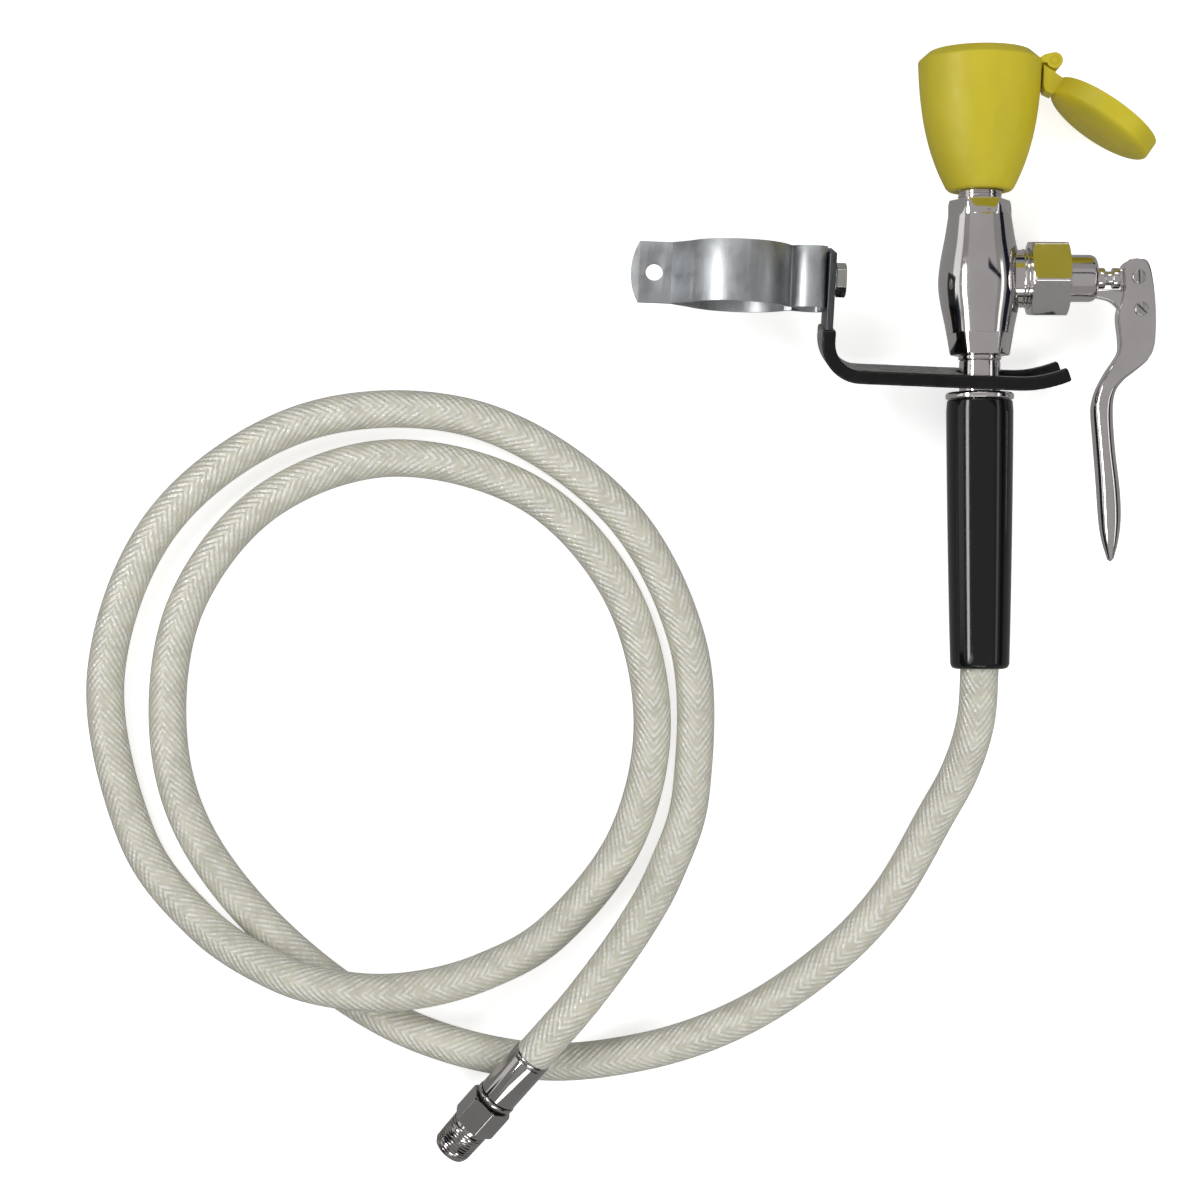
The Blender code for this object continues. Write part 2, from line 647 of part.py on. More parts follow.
def arm_outline():
    """The arm that carries the lever, from the bonnet's underside round the pivot."""
    x, y = PIVOT_AT
    root = BONNET_END - 0.0042
    top = -STEM_BUTTON - 0.0005
    outline = [(root, -0.0085), (root, top), (x - 0.0060, top), (x - 0.0015, top - 0.0022)]
    outline += arc((x, y), BOSS_RADIUS, 75, -110, 10)
    outline += [(x - 0.0066, y - 0.0032), (x - 0.0090, y + 0.0008)]
    return outline + [(x - 0.0125, y + 0.0038), (BONNET_END, -0.0082)]


def stem_group(slide, spring_end, chrome, brass, rubber, steel):
    seat = SEAT_AT + SEAT_GAP
    washer_end = seat + 0.0031
    foot = washer_end + SEAT_GAP
    collar = BONNET_END + SEAT_GAP
    neck = collar + 0.0031
    button = neck + 0.0032
    blade = button + 0.0031
    outline = [
        (0, foot), (STEM_RADIUS, foot), (STEM_RADIUS, collar), (STEM_COLLAR, collar),
        (STEM_COLLAR, neck), (STEM_NECK, neck), (STEM_NECK, button), (STEM_BUTTON, button),
        (STEM_BUTTON, blade), (0, blade),
    ]
    stem = turned("valve_stem", outline, 20, chrome, slide, ALONG_PORT)
    x, y = STEM_SCREW_AT
    eye = [(blade - 0.0010, -EYE_RADIUS), (x, -EYE_RADIUS)] + arc((x, y), EYE_RADIUS, -75, 75, 10)
    eye += [(x, EYE_RADIUS), (blade - 0.0010, EYE_RADIUS)]
    shape_with(stem, prism("stem_eye", eye, -EYE_HALF, EYE_HALF, None, slide), "UNION")
    slot = SCREW_RADIUS + PIVOT_GAP
    travel = 0.0006
    hole = arc((x, y + travel), slot, 0, 180, 10) + arc((x, y - travel), slot, 180, 360, 10)
    shape_with(stem, prism("stem_eye_slot", hole, -0.01, 0.01, None, slide))
    rod("seat_washer", WASHER_RADIUS, seat, washer_end, SMALL, rubber, slide, ALONG_PORT)
    holder_end = foot + HOLDER_LENGTH
    ring(
        "disc_holder", STEM_RADIUS + FIT_GAP, HOLDER_RADIUS, foot, holder_end, SMALL,
        brass, slide, ALONG_PORT,
    )
    return_spring(slide, holder_end + SEAT_GAP, spring_end - SEAT_GAP, steel)


def return_spring(slide, low, high, finish):
    coil = []
    steps = SPRING_TURNS * 8
    start, end = low + SPRING_WIRE, high - SPRING_WIRE
    for i in range(steps + 1):
        angle = tau * i / 8
        along = start + (end - start) * i / steps
        coil.append((along, SPRING_RADIUS * cos(angle), SPRING_RADIUS * sin(angle)))
    tube("return_spring", coil, SPRING_WIRE, 1, finish, slide)


def tube(name, points, radius, resolution, finish, parent=None):
    curve = bpy.data.curves.new(name, "CURVE")
    curve.dimensions = "3D"
    curve.bevel_depth = radius
    curve.bevel_resolution = resolution
    curve.use_fill_caps = True
    line = curve.splines.new("POLY")
    line.points.add(len(points) - 1)
    for knot, place in zip(line.points, points):
        knot.co = (*place, 1)
    made = bpy.data.objects.new(name, curve)
    bpy.context.scene.collection.objects.link(made)
    made.parent = parent
    curve.materials.append(finish)
    return made


def lever_outline():
    """The lever's side, about the pivot: cheeks at the top, a waisted grip below."""
    back = [
        (-0.0014, 0.0211), (0.0028, 0.0199), (0.0050, 0.0123), (0.0062, 0.0005), (0.0062, -0.0095),
        (0.0054, -0.0163), (0.0029, -0.0213), (-0.0022, -0.0259), (-0.0066, -0.0295),
        (-0.0099, -0.0343), (-0.0109, -0.0425), (-0.0100, -0.0580), (-0.0080, -0.0750),
        (-0.0075, -0.0870), (-0.0085, -0.0965), (-0.0104, -0.1040),
    ]
    front = [
        (-0.0132, -0.1046), (-0.0156, -0.0965), (-0.0169, -0.0881), (-0.0181, -0.0713),
        (-0.0194, -0.0545), (-0.0202, -0.0436), (-0.0197, -0.0385), (-0.0177, -0.0326),
        (-0.0139, -0.0259), (-0.0106, -0.0213), (-0.0083, -0.0171), (-0.0082, -0.0115),
        (-0.0090, -0.0020), (-0.0066, 0.0081), (-0.0068, 0.0182), (-0.0050, 0.0206),
    ]
    tip = Vector((-0.0118, -0.1057))
    return [tuple(p) for p in smooth(back, 2) + [tip] + smooth(front, 2)]


def lever_group(pivot, chrome, steel):
    lever = prism("lever", lever_outline(), -CHEEK_HALF, CHEEK_HALF, chrome, pivot)
    soften(lever, 0.0008)
    slot = [(-0.03, -0.0120), (0.03, -0.0120), (0.03, 0.03), (-0.03, 0.03)]
    shape_with(lever, prism("cheek_slot", slot, -CHEEK_SLOT, CHEEK_SLOT, None, pivot))
    room = [(-0.03, -0.0260), (-0.0040, -0.0200), (0.0010, -0.0100), (-0.03, -0.0100)]
    shape_with(lever, prism("arm_room", room, -CHEEK_SLOT, CHEEK_SLOT, None, pivot))
    for name, place in (("pivot_screw", (0, 0)), ("stem_screw", tuple(STEM_SCREW_AT - PIVOT_AT))):
        hole = rod(f"{name}_hole", SCREW_RADIUS + FIT_GAP, -0.01, 0.01, 20, None, pivot, at=(*place, 0))
        shape_with(lever, hole)
        screw(name, pivot, place, steel)


def screw(name, parent, place, finish):
    under = CHEEK_HALF + SEAT_GAP
    top = under + SCREW_HEAD
    outline = [
        (0, -CHEEK_HALF), (SCREW_RADIUS, -CHEEK_HALF), (SCREW_RADIUS, under),
        (SCREW_HEAD_RADIUS, under), (SCREW_HEAD_RADIUS, top - 0.0004),
        (SCREW_HEAD_RADIUS - 0.0005, top), (0, top),
    ]
    made = turned(name, outline, 20, finish, parent, at=(*place, 0))
    half, reach = SCREW_SLOT / 2, SCREW_HEAD_RADIUS * 1.2
    groove = [(-half, -reach), (half, -reach), (half, reach), (-half, reach)]
    tool = prism(f"{name}_groove", groove, top - 0.0007, top + 0.001, None, parent, at=(*place, 0))
    shape_with(made, tool)


def grip_group(wand, chrome, steel, plastic):
    tail = NECK_END - COLLAR_LENGTH - 0.0090
    outline = [
        (INLET_BORE, BODY_FOOT + NIPPLE_GRIP), (INLET_BORE, tail), (SPIGOT_RADIUS, tail),
        (SPIGOT_RADIUS, NECK_END), (NECK_RADIUS, NECK_END),
        (NECK_RADIUS, BODY_FOOT - SEAT_GAP - RELIEF_LENGTH),
        (RELIEF_RADIUS, BODY_FOOT - SEAT_GAP - RELIEF_LENGTH), (RELIEF_RADIUS, BODY_FOOT - SEAT_GAP),
        (NECK_TAIL_RADIUS, BODY_FOOT - SEAT_GAP), (NECK_TAIL_RADIUS, BODY_FOOT + NIPPLE_GRIP),
    ]
    turned("inlet_nipple", outline, ROUND, chrome, wand, ALONG_WAND)
    collar = NECK_END - SEAT_GAP
    low = collar - COLLAR_LENGTH
    hole = SPIGOT_RADIUS + FIT_GAP
    outline = [
        (hole, low), (COLLAR_RADIUS - 0.0004, low), (COLLAR_RADIUS, low + 0.0005),
        (COLLAR_RADIUS, collar - 0.0006), (COLLAR_RADIUS - 0.0006, collar), (hole, collar),
    ]
    turned("grip_collar", outline, 28, chrome, wand, ALONG_WAND)
    top = low - SEAT_GAP
    end = GRIP_END
    mouth = end + GRIP_MOUTH
    outline = [
        (hole, top), (TUBE_RADIUS, top), (TUBE_RADIUS, mouth + SEAT_GAP), (TUBE_BORE, mouth + SEAT_GAP),
        (TUBE_BORE, tail - 0.0020), (hole, tail - 0.0010),
    ]
    turned("handle_tube", outline, SMALL, steel, wand, ALONG_WAND)
    taper = GRIP_TOP_RADIUS - GRIP_END_RADIUS
    side = [
        (GRIP_TOP_RADIUS - taper * (0.35 * s + 0.65 * s * s), top - GRIP_LENGTH * 0.978 * s)
        for s in (i / 5 for i in range(6))
    ]
    bore = TUBE_RADIUS + FIT_GAP
    hose_bore = HOSE_RADIUS + MOUTH_GAP
    outline = [(bore, top)] + side + [
        (GRIP_END_RADIUS - 0.0007, end + 0.0008), (GRIP_END_RADIUS - 0.0024, end), (hose_bore, end),
        (hose_bore, mouth - SEAT_GAP), (bore, mouth - SEAT_GAP),
    ]
    turned("grip", outline, 28, plastic, wand, ALONG_WAND)


def hose_route():
    """The hose's route, its start carried along with the grip's mouth."""
    mouth = Vector((WAND_X, PORT_Y + GRIP_END + GRIP_MOUTH, CUP_RIM_RADIUS))
    shift = mouth - HOSE_MOUTH
    shares = [1, 1, 0.8, 0.5, 0.2] + [0] * (len(HOSE_ROUTE) - 5)
    return [Vector(p) + shift * share for p, share in zip(HOSE_ROUTE, shares)]


def hose(finish):
    laid = hose_route()
    points = evenly(smooth(laid, 12), 72, HOSE_RADIUS + 0.0001)
    first, second, *_, before, last = laid
    way = (last - before).normalized()
    points.insert(1, points[0] + (second - first).normalized() * HOSE_RADIUS)
    points.insert(-1, points[-1] - way * HOSE_RADIUS)
    tube("hose", points, HOSE_RADIUS, 2, finish)
    return points[-1], way


def end_fitting(end, way, chrome, brass, rubber):
    """What is crimped on the hose's end, each piece along the hose's own direction."""
    fitting = empty("end_fitting", at=end + way * SEAT_GAP)
    fitting.rotation_euler = way.to_track_quat("Z", "Y").to_euler()
    inside = FERRULE_RADIUS - FERRULE_WALL
    outline = [
        (inside, 0), (FERRULE_RADIUS - 0.0003, 0), (FERRULE_RADIUS, 0.0006),
        (FERRULE_RADIUS, FERRULE_LENGTH), (inside, FERRULE_LENGTH),
    ]
    turned("hose_ferrule", outline, ROUND, chrome, fitting)
    ring_at = FERRULE_LENGTH + SEAT_GAP
    ring_end = ring_at + COLLAR_RING
    hex_at = ring_end + SWIVEL_GROOVE
    hex_end = hex_at + ADAPTER_HEX
    spigot = 0.0062
    spigot_end = hex_at + 0.0060
    outline = [(TAIL_BORE, 0.0005)]
    for i in range(5):
        foot = 0.0010 + i * 0.0044
        outline += [(inside - 0.0014, foot), (inside - FIT_GAP, foot + 0.0036)]
    outline += [
        (inside - 0.0014, ring_at), (COLLAR_RING_RADIUS, ring_at), (COLLAR_RING_RADIUS, ring_end),
        (spigot, ring_end), (spigot, spigot_end), (TAIL_BORE, spigot_end),
    ]
    turned("hose_tail", outline, SMALL, brass, fitting)
    ring(
        "swivel_seal", spigot + FIT_GAP, COLLAR_RING_RADIUS - 0.0012, ring_end + SEAT_GAP,
        hex_at - SEAT_GAP, SMALL, rubber, fitting,
    )
    end_at = hex_end + INLET_THREAD
    chamfer = 0.0013
    corner = ADAPTER_FLATS / sqrt(3)
    outline = [
        (spigot + FIT_GAP, hex_at), (corner - chamfer, hex_at), (corner + 0.0001, hex_at + chamfer),
        (corner + 0.0001, hex_end - chamfer), (corner - chamfer, hex_end),
    ]
    outline += thread(INLET_THREAD_RADIUS, hex_end, end_at - 0.0010, INLET_PITCH, INLET_DEPTH)
    outline += [
        (INLET_THREAD_RADIUS - 0.0009, end_at), (TAIL_BORE + 0.0008, end_at),
        (TAIL_BORE + 0.0008, spigot_end + SEAT_GAP), (spigot + FIT_GAP, spigot_end + SEAT_GAP),
    ]
    adapter = turned("inlet_adapter", outline, ROUND, chrome, fitting)
    hexed = polygon(corner, 6, radians(12))
    big = polygon(corner * 1.6, 6, radians(12))
    over, under = hex_at - 0.002, hex_end + 0.0001
    shape_with(adapter, frame_prism("adapter_flats", big, hexed, hexed, over, under, fitting))


def bar_path():
    """The middle of the hook's bar: down the plate, round the bend, out and up the tips."""
    corner = (-PLATE_AT + BEND_RADIUS, BEND_RADIUS)
    bend = arc(corner, BEND_RADIUS, 180, 270, 8)
    start = TIP_REACH - TIP_RUN
    lift = [(start + TIP_RUN * s, TIP_RISE * s * s) for s in (i / 5 for i in range(6))]
    return [(-PLATE_AT, PLATE_TOP)] + bend + lift


def fork_outline(grow):
    """The bar and its fork seen from above, as (along, across), grown by that much."""
    half = BAR_WIDTH / 2 + grow
    slot = SLOT_RADIUS + COATING - grow
    tip = TIP_REACH + 0.004
    back = -PLATE_AT - 0.010
    root = arc((0, 0), slot, 270, 90, 12)
    mouth = slot + SLOT_FLARE
    outline = [(back, -half), (tip, -half), (tip, -mouth)] + root
    return outline + [(tip, mouth), (tip, half), (back, half)]


def bar_solid(name, thickness, grow, longer, hook, finish=None):
    """The bent bar as its side view kept inside its plan view."""
    path = [Vector(p) for p in bar_path()]
    last = (path[-1] - path[-2]).normalized()
    path[-1] = path[-1] + last * longer
    side = ribbon(path, thickness)
    wide = BAR_WIDTH + 0.02
    made = prism(name, side, -wide / 2, wide / 2, finish, hook)
    plan = [(x, -z) for x, z in fork_outline(grow)]
    keep = prism(f"{name}_plan", plan, -0.03, 0.08, None, hook, ALONG_WAND)
    shape_with(made, keep, "INTERSECT")
    return made


def hook_group(hook, steel, vinyl, zinc):
    bar = bar_solid("hook_bracket", BAR_THICKNESS, 0, 0, hook, steel)
    at_bolt = (-PLATE_AT, BOLT_HEIGHT, 0)
    bore = BOLT_RADIUS + FIT_GAP
    shape_with(bar, rod("bar_bolt_hole", bore, -0.01, 0.01, 20, None, hook, ALONG_PORT, at_bolt))
    coat = bar_solid("fork_coating", BAR_THICKNESS + 2 * COATING, COATING, COATING, hook, vinyl)
    above = [(-0.09, COATING_TOP), (0, COATING_TOP), (0, 0.08), (-0.09, 0.08)]
    shape_with(coat, prism("coating_end", above, -0.03, 0.03, None, hook))
    core = bar_solid("coating_core", BAR_THICKNESS + 2 * FIT_GAP, FIT_GAP, FIT_GAP, hook)
    shape_with(coat, core)
    plate = BAR_THICKNESS / 2
    bolt = empty("bolt_axis", hook, at_bolt)
    washer = plate + SEAT_GAP
    head = washer + LOCK_WASHER + SEAT_GAP
    ring(
        "lock_washer", bore, WASHER_OUTSIDE, washer, washer + LOCK_WASHER, 20, zinc, bolt, ALONG_PORT
    )
    nut_at = -plate - SEAT_GAP - STRAP - SEAT_GAP
    shank_end = nut_at - NUT_THICKNESS - 0.0020
    shank = rod("bracket_bolt", BOLT_RADIUS, shank_end, head + 0.001, 20, steel, bolt, ALONG_PORT)
    chamfer = hex_head("bolt_head", head, head + BOLT_HEAD, bolt)
    shape_with(shank, chamfer, "UNION")
    nut = hex_head("bracket_nut", nut_at - NUT_THICKNESS, nut_at, bolt, zinc)
    shape_with(nut, rod("nut_bore", bore, -0.02, 0.02, 20, None, bolt, ALONG_PORT))
    return bolt


def hex_head(name, low, high, parent, finish=None):
    return prism(name, hexagon(BOLT_FLATS, radians(18)), low, high, finish, parent, ALONG_PORT)


def clamp_path():
    """Half the strap's middle line, ear tip to end plate, as (back from the plate, out)."""
    middle = PIPE_RADIUS + STRAP / 2
    ear_end = -CLAMP_LENGTH + EAR_LENGTH
    rise = arc((-RING_AT, 0), middle, 153, 20, 14)
    out = SEAT_GAP / 2 + STRAP / 2
    ear = [(-CLAMP_LENGTH, out), (ear_end, out)]
    base_top = BASE_HALF - STRAP / 2
    face = -STRAP / 2
    base = [
        (-RING_AT + middle + 0.0008, PINCH_HALF), (-0.0120, PINCH_HALF + 0.0016),
        (-0.0085, base_top - 0.0007), (-0.0040, base_top), (face - 0.0008, base_top - 0.0007),
        (face, base_top - 0.0022),
    ]
    return ear + rise + base


def pipe_clamp(swivel, finish):
    half = clamp_path()
    whole = half + [(x, -z) for x, z in reversed(half)]
    half_width = STRAP_WIDTH / 2
    upright = (radians(90), 0, 0)
    strap = ribbon(whole, STRAP)
    made = prism("pipe_clamp", strap, -half_width, half_width, finish, swivel, upright)
    centre = -CLAMP_LENGTH + EAR_END_RADIUS
    wide = STRAP_WIDTH
    sweep = arc((centre, 0), EAR_END_RADIUS, 215, 145, 10)
    plan = [(0.01, wide), (0.01, -wide), (sweep[0][0], -wide)] + sweep + [(sweep[-1][0], wide)]
    shape_with(made, prism("ear_ends", plan, -0.05, 0.05, None, swivel), "INTERSECT")
    ear_hole = (-CLAMP_LENGTH + EAR_LENGTH * 0.56, 0, 0)
    shape_with(made, rod("ear_hole", EAR_HOLE_RADIUS, -0.01, 0.01, SMALL, None, swivel, at=ear_hole))
    bolt = rod("clamp_bolt_hole", BOLT_RADIUS + FIT_GAP, -0.006, 0.01, 20, None, swivel, ALONG_PORT)
    shape_with(made, bolt)


def build():
    clear_scene()
    yellow = material("yellow_plastic", (0.60, 0.49, 0.03), 0.45, 0)
    chrome = material("polished_chrome", (0.62, 0.61, 0.59), 0.08, 1)
    steel = material("stainless_steel", (0.45, 0.45, 0.43), 0.3, 1)
    brass = material("brass", (0.55, 0.42, 0.18), 0.3, 1)
    rubber = material("black_rubber", (0.02, 0.02, 0.02), 0.7, 0)
    black = material("gloss_black_plastic", (0.012, 0.012, 0.012), 0.15, 0)
    clear_hose = material("braided_clear_hose", (0.58, 0.56, 0.45), 0.35, 0)
    zinc = material("galvanised_steel", (0.50, 0.55, 0.60), 0.35, 1)
    dark = material("dark_steel", (0.06, 0.06, 0.065), 0.4, 0.6)
    vinyl = material("dipped_vinyl", (0.010, 0.010, 0.010), 0.35, 0)

    wand = empty("wand", at=(WAND_X, PORT_Y, CUP_RIM_RADIUS))
    hinge = empty("lid_hinge", wand, hinge_place(), (0, 0, LID_OPEN))
    slide = empty("stem_slide", wand)
    pivot = empty("lever_pivot", wand, (*PIVOT_AT, 0))
    hook = empty("hook", wand, (0, -FORK_DROP, 0), (HOOK_TILT, 0, HOOK_TURN))

    cup_parts(wand, yellow, chrome, steel, rubber)
    dust_cover(hinge, yellow)
    rod("lid_pin", LID_PIN_RADIUS, -LUG_HALF, LUG_HALF, 16, yellow, hinge)
    outlet_nipple(wand, chrome)
    valve_body(wand, chrome)
    union_nut(wand, chrome)
    spring_end = bonnet(wand, chrome, rubber, steel)
    stem_group(slide, spring_end, chrome, brass, rubber, steel)
    lever_group(pivot, chrome, steel)
    grip_group(wand, chrome, steel, black)
    end, way = hose(clear_hose)
    end_fitting(end, way, chrome, brass, rubber)
    bolt = hook_group(hook, dark, vinyl, zinc)
    back = -BAR_THICKNESS / 2 - SEAT_GAP
    swivel = empty("clamp_swivel", bolt, (back, 0, 0), (-HOOK_TILT, 0, 0))
    pipe_clamp(swivel, zinc)


build()
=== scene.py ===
"""The looks of a hand-held drench hose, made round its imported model. Metres, +Z up."""

from math import atan, ceil, cos, pi, radians, sin, sqrt, tau

import bmesh
import bpy
from bpy.props import FloatProperty, FloatVectorProperty, IntProperty, PointerProperty
from bpy.types import Operator, Panel, PropertyGroup
from mathutils import Euler, Matrix, Vector


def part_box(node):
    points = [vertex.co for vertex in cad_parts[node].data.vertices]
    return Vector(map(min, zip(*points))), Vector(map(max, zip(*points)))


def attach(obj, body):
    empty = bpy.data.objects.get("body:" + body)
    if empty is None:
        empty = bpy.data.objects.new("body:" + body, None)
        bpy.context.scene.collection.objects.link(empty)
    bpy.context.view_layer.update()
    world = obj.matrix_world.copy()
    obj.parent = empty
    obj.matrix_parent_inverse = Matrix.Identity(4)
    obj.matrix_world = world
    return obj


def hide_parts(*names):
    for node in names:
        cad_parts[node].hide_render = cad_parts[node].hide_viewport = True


bl_info = {
    "name": "Drench hose looks",
    "version": (1, 0, 0),
    "blender": (4, 5, 0),
    "location": "View3D > Sidebar > Drench hose",
    "description": "Builds the finished surfaces of a hand-held drench hose",
    "category": "Object",
}

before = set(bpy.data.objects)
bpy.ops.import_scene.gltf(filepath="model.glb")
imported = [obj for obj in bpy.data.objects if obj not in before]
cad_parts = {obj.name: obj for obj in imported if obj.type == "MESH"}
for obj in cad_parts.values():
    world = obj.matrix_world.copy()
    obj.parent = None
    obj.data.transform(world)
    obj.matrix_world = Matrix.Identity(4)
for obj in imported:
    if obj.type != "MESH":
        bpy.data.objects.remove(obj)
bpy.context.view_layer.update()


def low(node):
    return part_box(node)[0]


def high(node):
    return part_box(node)[1]


def middle(node):
    return (low(node) + high(node)) / 2


def span(node):
    return high(node) - low(node)


# Where the wand's axis and the valve port's axis cross
WAND = Vector((middle("grip_collar").x, middle("union_nut").y, middle("grip_collar").z))


def up_wand(y):
    """A world Y as a height up the wand from the port's axis."""
    return y - WAND.y


def out_port(x):
    """A world X as a distance out along the port's axis."""
    return x - WAND.x


FIT = 0.0003             # round a piece inside another
SKIN = 0.00002           # pieces stay this far inside the solids they stand for
CLEAR = 0.010            # cutters run this far past what they cut
SCREW_BORE = 0.00168     # the holes that the lever's screws pass through
BONNET_END = 0.0489      # the bonnet's outer end, out along the port
FINE = 128
ROUND = 96
SMALL = 48
SHARP = radians(32)

# The hose's route, from inside the grip to the ferrule
HOSE_ROUTE = (
    (0.0366, -0.1199, 0.0258), (0.0365, -0.1309, 0.0258), (0.0352, -0.1521, 0.0234),
    (0.0298, -0.1731, 0.0152), (0.0203, -0.1922, 0.0100), (0.0001, -0.2273, 0.0081),
    (-0.0262, -0.2546, 0.0081), (-0.0630, -0.2789, 0.0081), (-0.1056, -0.2934, 0.0081),
    (-0.1542, -0.2968, 0.0081), (-0.2097, -0.2810, 0.0081), (-0.2600, -0.2448, 0.0081),
    (-0.2953, -0.2001, 0.0081), (-0.3070, -0.1532, 0.0081), (-0.2986, -0.1015, 0.0081),
    (-0.2648, -0.0588, 0.0081), (-0.2118, -0.0402, 0.0081), (-0.1532, -0.0548, 0.0081),
    (-0.1147, -0.0959, 0.0081), (-0.1005, -0.1497, 0.0081), (-0.1110, -0.2012, 0.0081),
    (-0.1416, -0.2411, 0.0081), (-0.1722, -0.2585, 0.0130), (-0.2029, -0.2654, 0.0216),
    (-0.2313, -0.2645, 0.0252), (-0.2595, -0.2569, 0.0222), (-0.2924, -0.2373, 0.0122),
    (-0.3207, -0.1999, 0.0081), (-0.3333, -0.1321, 0.0081), (-0.3079, -0.0659, 0.0081),
    (-0.2485, -0.0249, 0.0081), (-0.1764, -0.0234, 0.0081), (-0.1161, -0.0610, 0.0081),
    (-0.0853, -0.1191, 0.0081), (-0.0837, -0.1807, 0.0081), (-0.0944, -0.2148, 0.0140),
    (-0.1092, -0.2400, 0.0257), (-0.1290, -0.2662, 0.0328), (-0.1446, -0.2845, 0.0302),
    (-0.1504, -0.2914, 0.0274),
)


# Sizes and colours -----------------------------------------------------------

def length(name, default, description):
    return FloatProperty(
        name=name, description=description, default=default, unit="LENGTH", precision=5
    )


def colour(name, default, description):
    return FloatVectorProperty(
        name=name, description=description, default=default, subtype="COLOR",
        size=3, min=0, max=1,
    )


def angle(name, degrees, description):
    return FloatProperty(
        name=name, description=description, default=radians(degrees), subtype="ANGLE"
    )


class CupSizes(PropertyGroup):
    rim_radius: length("Rim radius", span("spray_cup").z / 2, "Outside of the cup's rim")
    base_radius: length("Base radius", 0.0143, "Outside of the cup's foot")
    lip_radius: length("Lip radius", 0.0213, "Outside of the lip at the mouth")
    lip_height: length("Lip height", 0.0039, "From the rim up to the mouth")
    wall: length("Wall", 0.0023, "The cup's wall")
    floor: length("Floor", 0.0078, "The cup's floor")
    waist: length("Waist", 0.0006, "How far the bell draws in below the rim")
    lid_radius: length("Lid radius", 0.02415, "Outside of the lid")
    lid_wall: length("Lid wall", 0.00145, "The lid's wall")
    lid_rim: length("Lid rim", 0.0080, "Depth of the lid's straight rim")
    lid_crown: length("Lid crown", 0.0036, "How far the lid domes")
    hinge_reach: length("Hinge reach", 0.0049, "From the cup's rim out to the pin")
    knuckle_radius: length("Knuckle radius", 0.0034, "Round the lid's pin")
    pin_radius: length("Pin radius", 0.0017, "The lid's pin")
    lid_open: angle("Lid open", 215, "How far the lid stands open")


class ValveSizes(PropertyGroup):
    top_radius: length("Top radius", 0.0132, "The valve body where the cup's nipple enters")
    bulge_radius: length("Bulge radius", 0.0174, "The valve body's widest turn")
    foot_radius: length("Foot radius", 0.0125, "The valve body where the neck enters")
    flats: length("Flats", 0.0220, "Across the wrench flats on the body's ends")
    flats_spread: length("Flats spread", 0.0016, "How far each flat runs outward up its height")
    top_pad: length("Top flats", 0.0066, "Height of the upper wrench flats")
    foot_pad: length("Foot flats", 0.0088, "Height of the lower wrench flats")
    port_face: length("Port face", 0.0165, "From the wand's axis to the port's flat face")
    port_radius: length("Port radius", 0.0124, "Outside of the port's thread")
    nipple_radius: length("Nipple radius", 0.00924, "Outside of the cup's nipple")
    neck_radius: length("Neck radius", 0.0086, "The neck the hook holds")
    thread_pitch: length("Thread pitch", 0.0014, "From one thread to the next")
    thread_depth: length("Thread depth", 0.00045, "Depth of the threads")
    nut_turn: angle("Nut turn", 7.8, "How the union nut stands")


class LeverSizes(PropertyGroup):
    cheek_half: length("Cheek half", span("lever").z / 2, "Half the lever's width")
    slot_half: length("Slot half", 0.0031, "Half the slot between the cheeks")
    screw_radius: length("Screw head radius", 0.00295, "The slotted screw heads")
    screw_slot: length("Screw slot", 0.0008, "Width of a screw's slot")


class HoseSizes(PropertyGroup):
    radius: length("Hose radius", 0.0080, "Outside of the hose")
    yarns: IntProperty(
        name="Yarns", description="Yarns of the braid each way round", default=18, min=4, max=40,
        subtype="UNSIGNED",
    )
    lay: length("Yarn lay", 0.0600, "Length of hose in which a yarn goes once round")
    ferrule_radius: length("Ferrule radius", 0.0085, "Outside of the crimped ferrule")
    adapter_flats: length("Adapter flats", 0.0178, "Across the inlet adapter's flats")
    thread_radius: length("Inlet thread radius", 0.00855, "Outside of the inlet's thread")


class HookSizes(PropertyGroup):
    turn: angle("Hook turn", -2.4, "How the hook is turned on the neck")
    tilt: angle("Hook tilt", 11, "How the hook leans on the neck")
    drop: length("Hook drop", 0.0421, "From the port's axis down to the fork")
    thickness: length("Bar thickness", 0.0030, "The bent steel bar")
    width: length("Bar width", 0.0290, "The bent steel bar")
    coating: length("Coating", 0.0013, "Thickness of the dipped vinyl")
    slot_radius: length("Slot radius", 0.0100, "Half the dipped slot")
    strap: length("Strap", 0.0017, "Thickness of the pipe clamp's strap")
    pipe_radius: length("Pipe radius", 0.0211, "The pipe that the clamp grips")


class Finishes(PropertyGroup):
    yellow: colour("Yellow", (0.64, 0.540, 0.030), "Moulded cup and lid")
    chrome: colour("Chrome", (0.67, 0.648, 0.645), "Plated brass")
    # Painted shade: the fitting's plate is the chrome darkened to about two thirds, for the
    # darker reflections round the hose's end.
    fitting: colour("Fitting", (0.43, 0.415, 0.41), "Dark plate of the fitting on the hose's end")
    grip: colour("Grip", (0.006, 0.006, 0.0065), "Moulded grip")
    vinyl: colour("Vinyl", (0.006, 0.006, 0.006), "Dipped coating of the hook")
    hose: colour("Hose", (0.650, 0.635, 0.530), "The hose's milky wall")
    yarn: colour("Yarn", (0.93, 0.93, 0.89), "The braid's yarns")
    zinc: colour("Zinc", (0.42, 0.438, 0.452), "Galvanised strap")
    steel: colour("Dark steel", (0.10, 0.105, 0.11), "The hook's bare steel")
    stainless: colour("Stainless", (0.55, 0.55, 0.53), "Screws and spray plate")
    brass: colour("Brass", (0.60, 0.45, 0.20), "Turned brass")
    rubber: colour("Rubber", (0.015, 0.015, 0.015), "Seals and washers")


